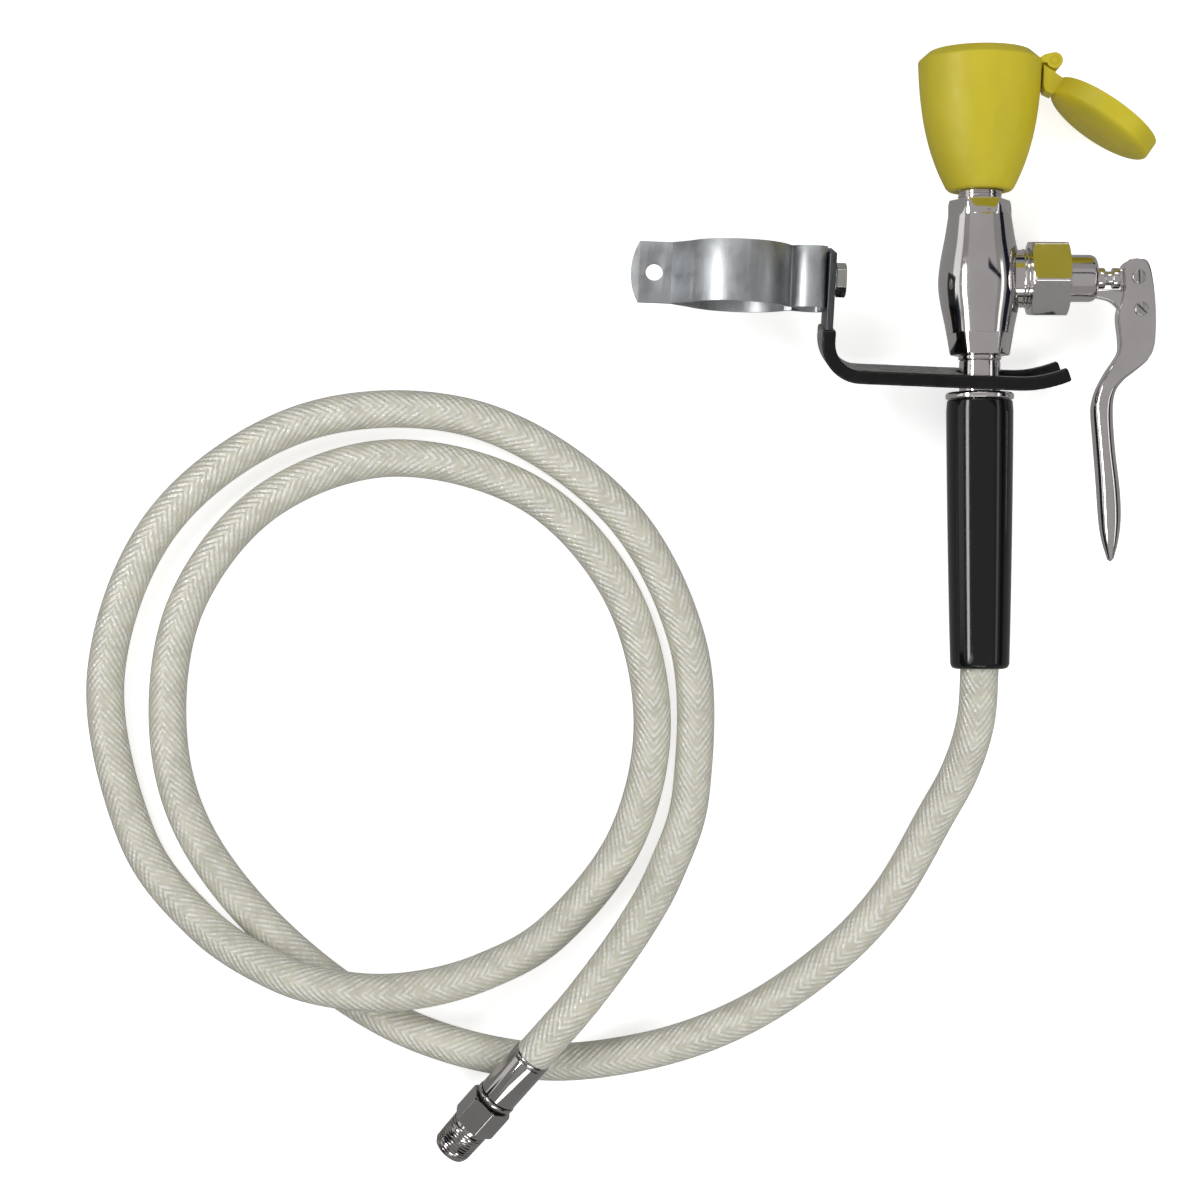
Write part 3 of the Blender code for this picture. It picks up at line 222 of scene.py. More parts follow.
class StageSizes(PropertyGroup):
    camera_x: length("Camera X", -0.1227, "Under the camera")
    camera_y: length("Camera Y", -0.1007, "Under the camera")
    camera_height: length("Camera height", 1.1752, "Above the surface")
    frame_width: length("Frame width", 0.504, "What the camera sees at the wand's height")
    wand_height: length("Wand height", 0.0252, "Where the frame's width is measured")


# Curves and outlines ---------------------------------------------------------

def smooth(points, steps):
    """Points on a smooth curve through the given ones."""
    points = [Vector(p) for p in points]
    ends = [points[0] * 2 - points[1]] + points + [points[-1] * 2 - points[-2]]
    curve = []
    for a, b, c, d in zip(ends, ends[1:], ends[2:], ends[3:]):
        for step in range(steps):
            t = step / steps
            curve.append(
                (b * 2 + (c - a) * t + (a * 2 - b * 5 + c * 4 - d) * t**2
                 + (b * 3 - a - c * 3 + d) * t**3) / 2
            )
    curve.append(points[-1])
    return curve


def arc(centre, radius, start, end, steps):
    """Points on an arc, its angles in degrees."""
    angles = [radians(start + (end - start) * i / steps) for i in range(steps + 1)]
    return [(centre[0] + radius * cos(a), centre[1] + radius * sin(a)) for a in angles]


def polygon(corner_radius, sides, turn=0.0):
    return [
        (corner_radius * cos(turn + tau * i / sides), corner_radius * sin(turn + tau * i / sides))
        for i in range(sides)
    ]


def rounded(outline, radius, steps=4, closed=True):
    """An outline with each corner rounded by at most that radius."""
    points = [Vector(p) for p in outline]
    made = []
    count = len(points)
    for i, corner in enumerate(points):
        if not closed and i in (0, count - 1):
            made.append(tuple(corner))
            continue
        back = points[i - 1] - corner
        ahead = points[(i + 1) % count] - corner
        if back.length < 1e-7 or ahead.length < 1e-7:
            made.append(tuple(corner))
            continue
        cut = min(radius, back.length * 0.45, ahead.length * 0.45)
        if back.normalized().dot(ahead.normalized()) < -0.94:
            made.append(tuple(corner))
            continue
        a = corner + back.normalized() * cut
        b = corner + ahead.normalized() * cut
        for step in range(steps + 1):
            t = step / steps
            made.append(tuple(a * (1 - t) ** 2 + corner * 2 * t * (1 - t) + b * t * t))
    return made


def ribbon(path, thickness):
    """The outline of a strip of that thickness whose middle follows the path."""
    path = [Vector(p) for p in path]
    left, right = [], []
    for i, point in enumerate(path):
        before = (point - path[i - 1]).normalized() if i else None
        after = (path[i + 1] - point).normalized() if i + 1 < len(path) else None
        way = ((before or after) + (after or before)).normalized()
        side = Vector((-way.y, way.x)) * thickness / 2 / way.dot(after or before)
        left.append(tuple(point + side))
        right.append(tuple(point - side))
    return left + right[::-1]


# Places ----------------------------------------------------------------------

ALONG_WAND = Matrix.Translation(WAND) @ Matrix.Rotation(radians(-90), 4, "X")
ALONG_PORT = Matrix.Translation(WAND) @ Matrix.Rotation(radians(90), 4, "Y")
FLAT = Matrix.Translation(WAND)


def at(x, y, z=0.0):
    return Matrix.Translation((x, y, z))


# Solids ----------------------------------------------------------------------

def new_object(name, mesh):
    made = bpy.data.objects.new(name, mesh)
    bpy.context.scene.collection.objects.link(made)
    return made


def close_mesh(name, bm, place):
    """Merges the seams, turns the faces out and puts the mesh in its place."""
    bmesh.ops.remove_doubles(bm, verts=bm.verts, dist=2e-7)
    bmesh.ops.recalc_face_normals(bm, faces=bm.faces)
    bm.transform(place)
    mesh = bpy.data.meshes.new(name)
    bm.to_mesh(mesh)
    bm.free()
    return new_object(name, mesh)


def turned(name, outline, steps, place):
    """A solid turned about its local Z from a closed outline of (radius, height)."""
    bm = bmesh.new()
    corners = [bm.verts.new((radius, 0, height)) for radius, height in outline]
    on_axis = outline[0][0] == 0 and outline[-1][0] == 0
    pairs = zip(corners, corners[1:] + ([] if on_axis else corners[:1]))
    edges = [bm.edges.new(pair) for pair in pairs]
    bmesh.ops.spin(
        bm, geom=corners + edges, cent=(0, 0, 0), axis=(0, 0, 1), angle=tau, steps=steps
    )
    return close_mesh(name, bm, place)


def prism(name, outline, bottom, top, place):
    """An outline in local XY, extruded along Z."""
    bm = bmesh.new()
    base = bm.faces.new([bm.verts.new((x, y, bottom)) for x, y in outline])
    grown = bmesh.ops.extrude_face_region(bm, geom=[base])["geom"]
    tops = [item for item in grown if isinstance(item, bmesh.types.BMVert)]
    bmesh.ops.translate(bm, verts=tops, vec=(0, 0, top - bottom))
    return close_mesh(name, bm, place)


def frame_prism(name, outer, inner_bottom, inner_top, bottom, top, place):
    """A prism with a tapered hole, all its outlines with as many corners."""
    bm = bmesh.new()
    ends = ((outer, bottom), (outer, top), (inner_top, top), (inner_bottom, bottom))
    rings = [[bm.verts.new((x, y, z)) for x, y in outline] for outline, z in ends]
    for ring, other in zip(rings, rings[1:] + rings[:1]):
        for i in range(len(ring)):
            j = (i + 1) % len(ring)
            bm.faces.new((ring[i], ring[j], other[j], other[i]))
    return close_mesh(name, bm, place)


def rod(name, radius, bottom, top, steps, place):
    return turned(name, [(0, bottom), (radius, bottom), (radius, top), (0, top)], steps, place)


def lofted(name, rings, place):
    """A closed skin over rings of points, each ring with as many points."""
    bm = bmesh.new()
    loops = [[bm.verts.new(p) for p in ring] for ring in rings]
    for one, other in zip(loops, loops[1:]):
        for i in range(len(one)):
            j = (i + 1) % len(one)
            bm.faces.new((one[i], one[j], other[j], other[i]))
    for loop in (loops[0], loops[-1]):
        bm.faces.new(loop)
    return close_mesh(name, bm, place)


def apply_modifiers(made):
    """Replaces the object's mesh by what its modifiers make of it."""
    graph = bpy.context.evaluated_depsgraph_get()
    graph.update()
    result = bpy.data.meshes.new_from_object(made.evaluated_get(graph), depsgraph=graph)
    made.modifiers.clear()
    made.data = result
    return made


def shape_with(made, tools, operation="DIFFERENCE"):
    """Cuts, joins or keeps what the tools mark out of a piece, and removes the tools."""
    for tool in tools:
        step = made.modifiers.new(tool.name, "BOOLEAN")
        step.object = tool
        step.operation = operation
        step.solver = "EXACT"
    apply_modifiers(made)
    for tool in tools:
        bpy.data.objects.remove(tool)
    return made


def soften(made, width, segments=2, over=38):
    """Rounds the edges that turn by more than that many degrees."""
    step = made.modifiers.new("rounded_edges", "BEVEL")
    step.width = width
    step.segments = segments
    step.limit_method = "ANGLE"
    step.angle_limit = radians(over)
    step.harden_normals = False
    return apply_modifiers(made)


def melt(made, voxel, rounds):
    """Runs a piece into one soft skin, as a dip or a casting leaves it."""
    step = made.modifiers.new("skin", "REMESH")
    step.mode = "VOXEL"
    step.voxel_size = voxel
    blur = made.modifiers.new("blur", "SMOOTH")
    blur.iterations = rounds
    blur.factor = 0.5
    return apply_modifiers(made)


def finish(made, body, surface, nodes=(), sharp=SHARP):
    """Gives a piece its surface, its body and the solids it stands for."""
    made.data.materials.clear()
    made.data.materials.append(surface)
    for face in made.data.polygons:
        face.material_index = 0
    made.data.shade_smooth()
    made.data.set_sharp_from_angle(angle=sharp)
    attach(made, body)
    if nodes:
        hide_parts(*nodes)
    return made


# Geometry Nodes --------------------------------------------------------------

class Tree:
    """A node tree being written: nodes are added and linked by name."""

    def __init__(self, tree):
        self.tree = tree

    def add(self, kind, **settings):
        node = self.tree.nodes.new(kind)
        for key, value in settings.items():
            setattr(node, key, value)
        return node

    def link(self, source, target):
        self.tree.links.new(source, target)

    def feed(self, node, **values):
        """Sets a node's inputs by name, to a value or to another node's output."""
        for key, value in values.items():
            socket = node.inputs[key.replace("_", " ")]
            if isinstance(value, bpy.types.NodeSocket):
                self.link(value, socket)
            else:
                socket.default_value = value
        return node


def geometry_tree(name, inputs):
    """A Geometry Nodes tree with the given (name, socket type, default) inputs."""
    group = bpy.data.node_groups.new(name, "GeometryNodeTree")
    group.interface.new_socket("Geometry", in_out="INPUT", socket_type="NodeSocketGeometry")
    group.interface.new_socket("Geometry", in_out="OUTPUT", socket_type="NodeSocketGeometry")
    for label, kind, default in inputs:
        socket = group.interface.new_socket(label, in_out="INPUT", socket_type=kind)
        if default is not None:
            socket.default_value = default
    tree = Tree(group)
    start = tree.add("NodeGroupInput")
    end = tree.add("NodeGroupOutput")
    return tree, start, end


def end_tree(tree, start, end, geometry):
    """Ends a tree in Realize Instances and Set Material."""
    real = tree.add("GeometryNodeRealizeInstances")
    painted = tree.add("GeometryNodeSetMaterial")
    tree.link(geometry, real.inputs["Geometry"])
    tree.link(real.outputs["Geometry"], painted.inputs["Geometry"])
    tree.link(start.outputs["Material"], painted.inputs["Material"])
    tree.link(painted.outputs["Geometry"], end.inputs["Geometry"])
    return tree.tree


def thread_tree():
    """A helical ridge about Z, added to the mesh that comes in."""
    tree, start, end = geometry_tree("helical_thread", (
        ("Root radius", "NodeSocketFloat", 0.009),
        ("End radius", "NodeSocketFloat", 0.009),
        ("Length", "NodeSocketFloat", 0.01),
        ("Turns", "NodeSocketFloat", 6.0),
        ("Depth", "NodeSocketFloat", 0.0004),
        ("Material", "NodeSocketMaterial", None),
    ))
    helix = tree.add("GeometryNodeCurveSpiral")
    tree.feed(
        helix, Resolution=40, Rotations=start.outputs["Turns"],
        Start_Radius=start.outputs["Root radius"], End_Radius=start.outputs["End radius"],
        Height=start.outputs["Length"],
    )
    ridge = tree.add("GeometryNodeCurvePrimitiveCircle", mode="RADIUS")
    tree.feed(ridge, Resolution=6, Radius=start.outputs["Depth"])
    swept = tree.add("GeometryNodeCurveToMesh")
    tree.link(helix.outputs["Curve"], swept.inputs["Curve"])
    tree.link(ridge.outputs["Curve"], swept.inputs["Profile Curve"])
    swept.inputs["Fill Caps"].default_value = True
    both = tree.add("GeometryNodeJoinGeometry")
    tree.link(swept.outputs["Mesh"], both.inputs["Geometry"])
    tree.link(start.outputs["Geometry"], both.inputs["Geometry"])
    return end_tree(tree, start, end, both.outputs["Geometry"])


def perforation_tree():
    """Round holes on rings, cut out of the plate that comes in."""
    tree, start, end = geometry_tree("perforation", (
        ("Hole radius", "NodeSocketFloat", 0.0011),
        ("Ring radius", "NodeSocketFloat", 0.006),
        ("Count", "NodeSocketInt", 6),
        ("Height", "NodeSocketFloat", 0.0),
        ("Material", "NodeSocketMaterial", None),
    ))
    ring = tree.add("GeometryNodeMeshCircle")
    tree.feed(ring, Vertices=start.outputs["Count"], Radius=start.outputs["Ring radius"])
    drill = tree.add("GeometryNodeMeshCylinder")
    tree.feed(drill, Vertices=20, Radius=start.outputs["Hole radius"], Depth=0.01)
    lift = tree.add("ShaderNodeCombineXYZ")
    tree.link(start.outputs["Height"], lift.inputs["Z"])
    raised = tree.add("GeometryNodeTransform")
    tree.link(ring.outputs["Mesh"], raised.inputs["Geometry"])
    tree.link(lift.outputs["Vector"], raised.inputs["Translation"])
    placed = tree.add("GeometryNodeInstanceOnPoints")
    tree.link(raised.outputs["Geometry"], placed.inputs["Points"])
    tree.link(drill.outputs["Mesh"], placed.inputs["Instance"])
    drills = tree.add("GeometryNodeRealizeInstances")
    tree.link(placed.outputs["Instances"], drills.inputs["Geometry"])
    cut = tree.add("GeometryNodeMeshBoolean", operation="DIFFERENCE", solver="EXACT")
    tree.link(start.outputs["Geometry"], cut.inputs["Mesh 1"])
    tree.link(drills.outputs["Geometry"], cut.inputs["Mesh 2"])
    return end_tree(tree, start, end, cut.outputs["Mesh"])


def run_tree(made, group, surface, **values):
    """Runs a tree on a piece with those named inputs, and keeps the result as a mesh."""
    step = made.modifiers.new(group.name, "NODES")
    step.node_group = group
    wanted = {key.replace("_", " "): value for key, value in values.items()}
    wanted["Material"] = surface
    for item in group.interface.items_tree:
        if item.item_type == "SOCKET" and item.in_out == "INPUT" and item.name in wanted:
            step[item.identifier] = wanted[item.name]
    return apply_modifiers(made)


# Surfaces --------------------------------------------------------------------

def surface(name, base, roughness, metallic=0.0, **more):
    """A new material: its tree, its shader and its object coordinates."""
    made = bpy.data.materials.get(name)
    if made:
        return made, None, None, None
    made = bpy.data.materials.new(name)
    made.use_nodes = True
    made.diffuse_color = (*base, 1)
    tree = Tree(made.node_tree)
    shader = made.node_tree.nodes["Principled BSDF"]
    shader.inputs["Base Color"].default_value = (*base, 1)
    shader.inputs["Roughness"].default_value = roughness
    shader.inputs["Metallic"].default_value = metallic
    for key, value in more.items():
        shader.inputs[key.replace("_", " ")].default_value = value
    place = tree.add("ShaderNodeTexCoord").outputs["Object"]
    return made, tree, shader, place


def noise(tree, place, scale, detail=4.0, stretch=(1, 1, 1)):
    mapping = tree.add("ShaderNodeMapping")
    tree.link(place, mapping.inputs["Vector"])
    mapping.inputs["Scale"].default_value = stretch
    made = tree.add("ShaderNodeTexNoise")
    tree.link(mapping.outputs["Vector"], made.inputs["Vector"])
    made.inputs["Scale"].default_value = scale
    made.inputs["Detail"].default_value = detail
    return made.outputs["Fac"]


def ranged(tree, value, lowest, highest, from_low=0.35, from_high=0.65):
    made = tree.add("ShaderNodeMapRange")
    tree.link(value, made.inputs["Value"])
    made.inputs["From Min"].default_value = from_low
    made.inputs["From Max"].default_value = from_high
    made.inputs["To Min"].default_value = lowest
    made.inputs["To Max"].default_value = highest
    return made.outputs["Result"]


def blended(tree, share, one, other):
    made = tree.add("ShaderNodeMix", data_type="RGBA")
    tree.link(share, made.inputs[0])
    for socket, value in ((made.inputs[6], one), (made.inputs[7], other)):
        if isinstance(value, bpy.types.NodeSocket):
            tree.link(value, socket)
        else:
            socket.default_value = (*value, 1)
    return made.outputs[2]


def bumped(tree, shader, height, strength, distance, onto="Normal", under=None):
    made = tree.add("ShaderNodeBump")
    tree.link(height, made.inputs["Height"])
    made.inputs["Strength"].default_value = strength
    made.inputs["Distance"].default_value = distance
    if under is not None:
        tree.link(under, made.inputs["Normal"])
    tree.link(made.outputs["Normal"], shader.inputs[onto])
    return made.outputs["Normal"]


def shades(base, darker, lighter):
    return tuple(c * darker for c in base), tuple(min(1.0, c * lighter) for c in base)


def moulded_plastic(name, base, roughness, grain, **more):
    """Injection-moulded plastic: faint flow marks, a fine grain, uneven gloss."""
    made, tree, shader, place = surface(name, base, roughness, **more)
    if tree:
        flow = noise(tree, place, 60, 3, (1, 0.35, 1))
        dark, light = shades(base, 0.93, 1.06)
        mix = blended(tree, ranged(tree, flow, 0, 1), dark, light)
        tree.link(mix, shader.inputs["Base Color"])
        rough = ranged(tree, noise(tree, place, 220), roughness * 0.86, roughness * 1.16)
        tree.link(rough, shader.inputs["Roughness"])
        bumped(tree, shader, noise(tree, place, 2600, 2), grain, 0.00002)
    return made


def plated(name, base, roughness, wave=0.10):
    """Polished plate: mirror-like, with faint buffing waves and dull specks."""
    made, tree, shader, place = surface(name, base, roughness, 1.0)
    if tree:
        dark, light = shades(base, 0.95, 1.03)
        haze = ranged(tree, noise(tree, place, 70), 0, 1)
        tree.link(blended(tree, haze, dark, light), shader.inputs["Base Color"])
        rough = ranged(tree, noise(tree, place, 380, 6), roughness * 0.85, roughness * 1.25)
        tree.link(rough, shader.inputs["Roughness"])
        bumped(tree, shader, noise(tree, place, 130, 2), wave, 0.00004)
    return made


def brushed(name, base, roughness, stretch, strength=0.25):
    """Metal with fine marks along one way."""
    made, tree, shader, place = surface(name, base, roughness, 1.0)
    if tree:
        lines = noise(tree, place, 900, 3, stretch)
        dark, light = shades(base, 0.86, 1.08)
        mix = blended(tree, ranged(tree, lines, 0, 1), dark, light)
        tree.link(mix, shader.inputs["Base Color"])
        rough = ranged(tree, lines, roughness * 0.8, roughness * 1.3)
        tree.link(rough, shader.inputs["Roughness"])
        bumped(tree, shader, lines, strength, 0.00002)
    return made


def galvanised(name, base):
    """Zinc plate: large faint crystals, bright specks and roll marks."""
    made, tree, shader, place = surface(name, base, 0.40, 1.0)
    if tree:
        crystal = tree.add("ShaderNodeTexVoronoi", feature="F1")
        tree.link(place, crystal.inputs["Vector"])
        crystal.inputs["Scale"].default_value = 330
        grey = tree.add("ShaderNodeRGBToBW")
        tree.link(crystal.outputs["Color"], grey.inputs["Color"])
        dark, light = shades(base, 0.95, 1.05)
        grains = blended(tree, ranged(tree, grey.outputs["Val"], 0, 1, 0.2, 0.8), dark, light)
        marks = noise(tree, place, 520, 5, (1, 0.16, 0.16))
        bright = tuple(min(1.0, c * 1.3) for c in base)
        tree.link(
            blended(tree, ranged(tree, marks, 0, 0.6, 0.52, 0.75), grains, bright),
            shader.inputs["Base Color"],
        )
        rough = ranged(tree, grey.outputs["Val"], 0.36, 0.44, 0.1, 0.9)
        tree.link(rough, shader.inputs["Roughness"])
        bumped(tree, shader, noise(tree, place, 420, 6, (1, 0.3, 1)), 0.25, 0.00004)
    return made


def dipped(name, base):
    """Dipped vinyl: satin, slightly lumpy, with a fine orange peel."""
    made, tree, shader, place = surface(name, base, 0.22, 0.0, Specular_IOR_Level=0.24)
    if tree:
        dark, light = shades(base, 0.8, 1.5)
        lumps = noise(tree, place, 90, 3)
        mix = blended(tree, ranged(tree, lumps, 0, 1), dark, light)
        tree.link(mix, shader.inputs["Base Color"])
        tree.link(ranged(tree, noise(tree, place, 300), 0.16, 0.30), shader.inputs["Roughness"])
        first = bumped(tree, shader, lumps, 0.2, 0.0003)
        bumped(tree, shader, noise(tree, place, 1500, 2), 0.12, 0.00005, under=first)
    return made


def rubber(name, base):
    made, tree, shader, place = surface(name, base, 0.7)
    if tree:
        dark, light = shades(base, 0.8, 1.4)
        tree.link(
            blended(tree, ranged(tree, noise(tree, place, 300), 0, 1), dark, light),
            shader.inputs["Base Color"],
        )
        bumped(tree, shader, noise(tree, place, 1200), 0.3, 0.00004)
    return made


def maths(tree, operation, one, other=None, third=None):
    made = tree.add("ShaderNodeMath", operation=operation)
    for socket, value in zip(made.inputs, (one, other, third)):
        if isinstance(value, bpy.types.NodeSocket):
            tree.link(value, socket)
        elif value is not None:
            socket.default_value = value
    return made.outputs["Value"]


def braided(name, wall, yarn, sizes, total):
    """A milky hose wall with a yarn braid under its skin, laid out on the hose's UV map.

    U runs along the hose from 0 to 1 and V once round it, so both ways of the braid
    are bands of U turned by V.
    """
    made, tree, shader, _ = surface(
        name, wall, 0.42, 0.0, Subsurface_Weight=0.35, Subsurface_Scale=0.004,
        Coat_Weight=0.9, Coat_Roughness=0.14, Coat_IOR=1.5,
    )
    if not tree:
        return made
    shader.inputs["Subsurface Radius"].default_value = (1.0, 0.95, 0.7)
    uv = tree.add("ShaderNodeUVMap", uv_map="hose_lay")
    parts = tree.add("ShaderNodeSeparateXYZ")
    tree.link(uv.outputs["UV"], parts.inputs["Vector"])
    turns = maths(tree, "MULTIPLY", parts.outputs["X"], total / sizes.lay)
    bands = []
    for way in (1, -1):
        across = maths(tree, "MULTIPLY_ADD", parts.outputs["Y"], way, turns)
        cell = maths(tree, "FRACT", maths(tree, "MULTIPLY", across, sizes.yarns))
        bands.append(maths(tree, "SINE", maths(tree, "MULTIPLY", cell, pi)))
    # Painted light: on one half round the hose one way of the braid shows at full strength and
    # the other at 0.35, and the reverse on the other half, as the yarns lying across the light
    # catch it. The weights over and under carry this painted light, not a weave.
    painted_light_half = maths(tree, "GREATER_THAN", parts.outputs["Y"], 0.5)
    over = ranged(tree, painted_light_half, 0.35, 1.0, 0, 1)
    under = ranged(tree, painted_light_half, 1.0, 0.35, 0, 1)
    yarns_with_painted_light = (maths(tree, "MULTIPLY", bands[0], under), maths(tree, "MULTIPLY", bands[1], over))
    cover = maths(tree, "MAXIMUM", *yarns_with_painted_light)
    object_place = tree.add("ShaderNodeTexCoord").outputs["Object"]
    broken = ranged(tree, noise(tree, object_place, 260, 4), 0.02, 1.0, 0.38, 0.64)
    crossing = maths(tree, "MULTIPLY", maths(tree, "MULTIPLY", bands[0], bands[1]), broken)
    share = maths(tree, "MULTIPLY", ranged(tree, cover, 0.0, 0.90, 0.40, 0.98), broken)
    dark, light = shades(wall, 0.90, 1.08)
    clouds = blended(tree, ranged(tree, noise(tree, object_place, 120, 4), 0, 1), dark, light)
    tree.link(blended(tree, share, clouds, yarn), shader.inputs["Base Color"])
    first = bumped(tree, shader, cover, 0.6, 0.00035)
    bumped(tree, shader, crossing, 0.8, 0.00045, under=first)
    skin = maths(tree, "MULTIPLY_ADD", crossing, 0.9, cover)
    bumped(tree, shader, skin, 0.55, 0.00045, onto="Coat Normal")
    return made


def looks():
    """Every surface of the drench hose, by its slot's name."""
    tints = bpy.context.scene.drench_finishes
    return {
        "yellow_plastic": moulded_plastic(
            "moulded_yellow", tuple(tints.yellow), 0.48, 0.10,
            Subsurface_Weight=0.06, Subsurface_Scale=0.002, Specular_IOR_Level=0.30,
        ),
        "chrome": plated("polished_chrome", tuple(tints.chrome), 0.085),
        # Painted shade: a darker copy of the chrome for the hose's end fitting.
        "fitting": plated("shaded_fitting_chrome", tuple(tints.fitting), 0.07),
        "stainless_steel": brushed(
            "brushed_stainless", tuple(tints.stainless), 0.28, (1, 0.1, 1)
        ),
        "brass": brushed("turned_brass", tuple(tints.brass), 0.3, (1, 1, 0.1)),
        "black_rubber": rubber("soft_rubber", tuple(tints.rubber)),
        "black_grip": moulded_plastic(
            "gloss_black_grip", tuple(tints.grip), 0.11, 0.03, Specular_IOR_Level=0.40
        ),
        "zinc_plate": galvanised("galvanised_strap", tuple(tints.zinc)),
        "dark_steel": brushed("dark_hook_steel", tuple(tints.steel), 0.42, (1, 0.15, 1)),
        "dipped_vinyl": dipped("dipped_vinyl_skin", tuple(tints.vinyl)),
    }


# Cup and lid -----------------------------------------------------------------

def cup_heights():
    foot = up_wand(low("spray_cup").y)
    mouth = up_wand(high("spray_cup").y)
    return foot, mouth


def cup_rim(sizes):
    return cup_heights()[1] - sizes.lip_height


def cup_radius(sizes, height):
    """The cup's outer radius: a bell that widens quickly, then runs nearly straight."""
    shoulder = cup_heights()[0] + 0.0013
    share = (height - shoulder) / (cup_rim(sizes) - shoulder)
    share = min(max(share, 0.0), 1.0)
    bell = 1 - (1 - share) ** 2.6
    waist = sizes.waist * sin(pi * share)
    return sizes.base_radius + (sizes.rim_radius - sizes.base_radius) * bell - waist


def hinge_place(sizes):
    return at(sizes.rim_radius + sizes.hinge_reach, cup_rim(sizes) - FIT)


def make_cup(sizes, paint):
    foot, mouth = cup_heights()
    rim = cup_rim(sizes)
    floor = foot + sizes.floor
    count = 40
    outer = [
        (cup_radius(sizes, h) - SKIN, h)
        for h in (foot + 0.0013 + (rim - foot - 0.0013) * i / count for i in range(count + 1))
    ]
    inner = [
        (cup_radius(sizes, h) - sizes.wall, h)
        for h in (rim - 0.0012 - (rim - 0.0012 - floor) * i / 24 for i in range(25))
    ]
    hole = span("outlet_nipple").x / 2 + FIT
    outline = [(hole, foot), (sizes.base_radius - 0.0012, foot)]
    outline += outer
    outline += [(sizes.lip_radius, mouth), (sizes.lip_radius - 0.0014, mouth)]
    outline += inner + [(hole, floor)]
    cup = turned("spray_cup_shell", rounded(outline, 0.0007, 5), FINE, ALONG_WAND)
    place = FLAT @ hinge_place(sizes)
    root = -sizes.hinge_reach - 0.0016
    knuckle = sizes.knuckle_radius - SKIN
    lug = [(root, -0.0007), (-0.0032, -0.0010)] + arc((0, 0), knuckle, 205, 460, 40)
    lug += [(-0.0042, 0.0025), (root, 0.0010)]
    half = span("lid_pin").z / 2 - SKIN
    inside = 0.0027 + FIT
    lugs = [
        prism(f"lug_{side}", lug, *sorted((side * inside, side * half)), place)
        for side in (-1, 1)
    ]
    shape_with(cup, lugs, "UNION")
    shape_with(cup, [rod("pin_hole", sizes.pin_radius + 0.00008, -CLEAR, CLEAR, SMALL, place)])
    soften(cup, 0.00025, 2, 50)
    finish(cup, "wand", paint, ["spray_cup"])


def make_lid(sizes, paint):
    """The lid, drawn shut about its pin and swung open."""
    place = FLAT @ hinge_place(sizes) @ Matrix.Rotation(-sizes.lid_open, 4, "Z")
    reach = sizes.rim_radius + sizes.hinge_reach
    foot = 0.0034
    edge = foot + sizes.lid_rim
    crown = sizes.lid_crown
    wall = sizes.lid_wall
    radius = sizes.lid_radius - SKIN
    dome = [
        (radius * sin(radians(a)), edge + crown * (cos(radians(a)) - cos(radians(75))) / 0.74)
        for a in (75, 70, 65, 60, 55, 48, 40, 30, 20, 10)
    ]
    outline = [(radius - wall, foot), (radius, foot), (radius, edge - 0.0008)]
    outline += dome + [(0, edge + crown), (0, edge + crown - wall)]
    inner = ((0.30, 0.90), (0.55, 0.62), (0.78, 0.30))
    outline += [(radius * out, edge + crown * up - wall) for out, up in inner]
    outline += [(radius - wall, edge - wall)]
    shell = rounded(outline[:-6], 0.0006, 4, closed=False) + outline[-6:]
    axis = place @ at(-reach, 0) @ Matrix.Rotation(radians(-90), 4, "X")
    lid = turned("dust_cover_shell", shell, FINE, axis)
    left = radius - reach
    arm = [
        (0.0027, 0.0041), (-0.0020, edge - 0.0002), (left + 0.0026, edge + 0.0012),
        (left - 0.0009, edge + 0.0006), (left - 0.0009, foot + 0.0008), (-0.0030, 0.0041),
    ]
    half = span("lid_pin").z / 2 - SKIN
    knuckle = [(-0.0031, 0.0050)] + arc((0, 0), sizes.knuckle_radius - SKIN, 155, 385, 40)
    knuckle += [(0.0026, 0.0050)]
    shape_with(lid, [
        prism("lid_arm", arm, -half, half, place),
        prism("lid_knuckle", knuckle, -0.0027, 0.0027, place),
    ], "UNION")
    hole_radius = sizes.pin_radius + 0.00008
    shape_with(lid, [rod("lid_pin_hole", hole_radius, -CLEAR, CLEAR, SMALL, place)])
    soften(lid, 0.0003, 2, 50)
    finish(lid, "lid", paint, ["dust_cover"])
    end = span("lid_pin").z / 2
    pin = [(0, -end), (sizes.pin_radius, -end), (sizes.pin_radius, end)]
    pin += [(sizes.pin_radius * 0.62, end), (sizes.pin_radius * 0.5, end - 0.0004)]
    pin += [(0, end - 0.0004)]
    made = turned("lid_pin_head", rounded(pin, 0.0002, 3, closed=False), SMALL, place)
    finish(made, "wand", paint, ["lid_pin"])


class DRENCH_OT_cup(Operator):
    """Makes the spray cup, its lid and the lid's pin"""
    bl_idname = "drench.cup"
    bl_label = "Cup and lid"

    def execute(self, context):
        paint = looks()["yellow_plastic"]
        make_cup(context.scene.drench_cup, paint)
        make_lid(context.scene.drench_cup, paint)
        return {"FINISHED"}


class DRENCH_OT_spray_head(Operator):
    """Makes the perforated plate in the cup"""
    bl_idname = "drench.spray_head"
    bl_label = "Spray head"

    def execute(self, context):
        paints = looks()
        bottom = up_wand(low("spray_plate").y)
        top = up_wand(high("spray_plate").y)
        radius = span("spray_plate").x / 2 - SKIN
        outline = [(0, bottom), (radius, bottom), (radius, top), (0, top)]
        outline = rounded(outline, 0.0003, 3, closed=False)
        plate = turned("spray_plate_disc", outline, ROUND, Matrix())
        drill = perforation_tree()
        for count, ring in ((1, 0.0), (6, 0.0062), (12, 0.0124)):
            run_tree(
                plate, drill, paints["stainless_steel"], Hole_radius=0.0011,
                Ring_radius=ring, Count=count, Height=(bottom + top) / 2,
            )
        plate.data.transform(ALONG_WAND)
        finish(plate, "wand", paints["stainless_steel"], ["spray_plate"])
        return {"FINISHED"}


# Valve -----------------------------------------------------------------------

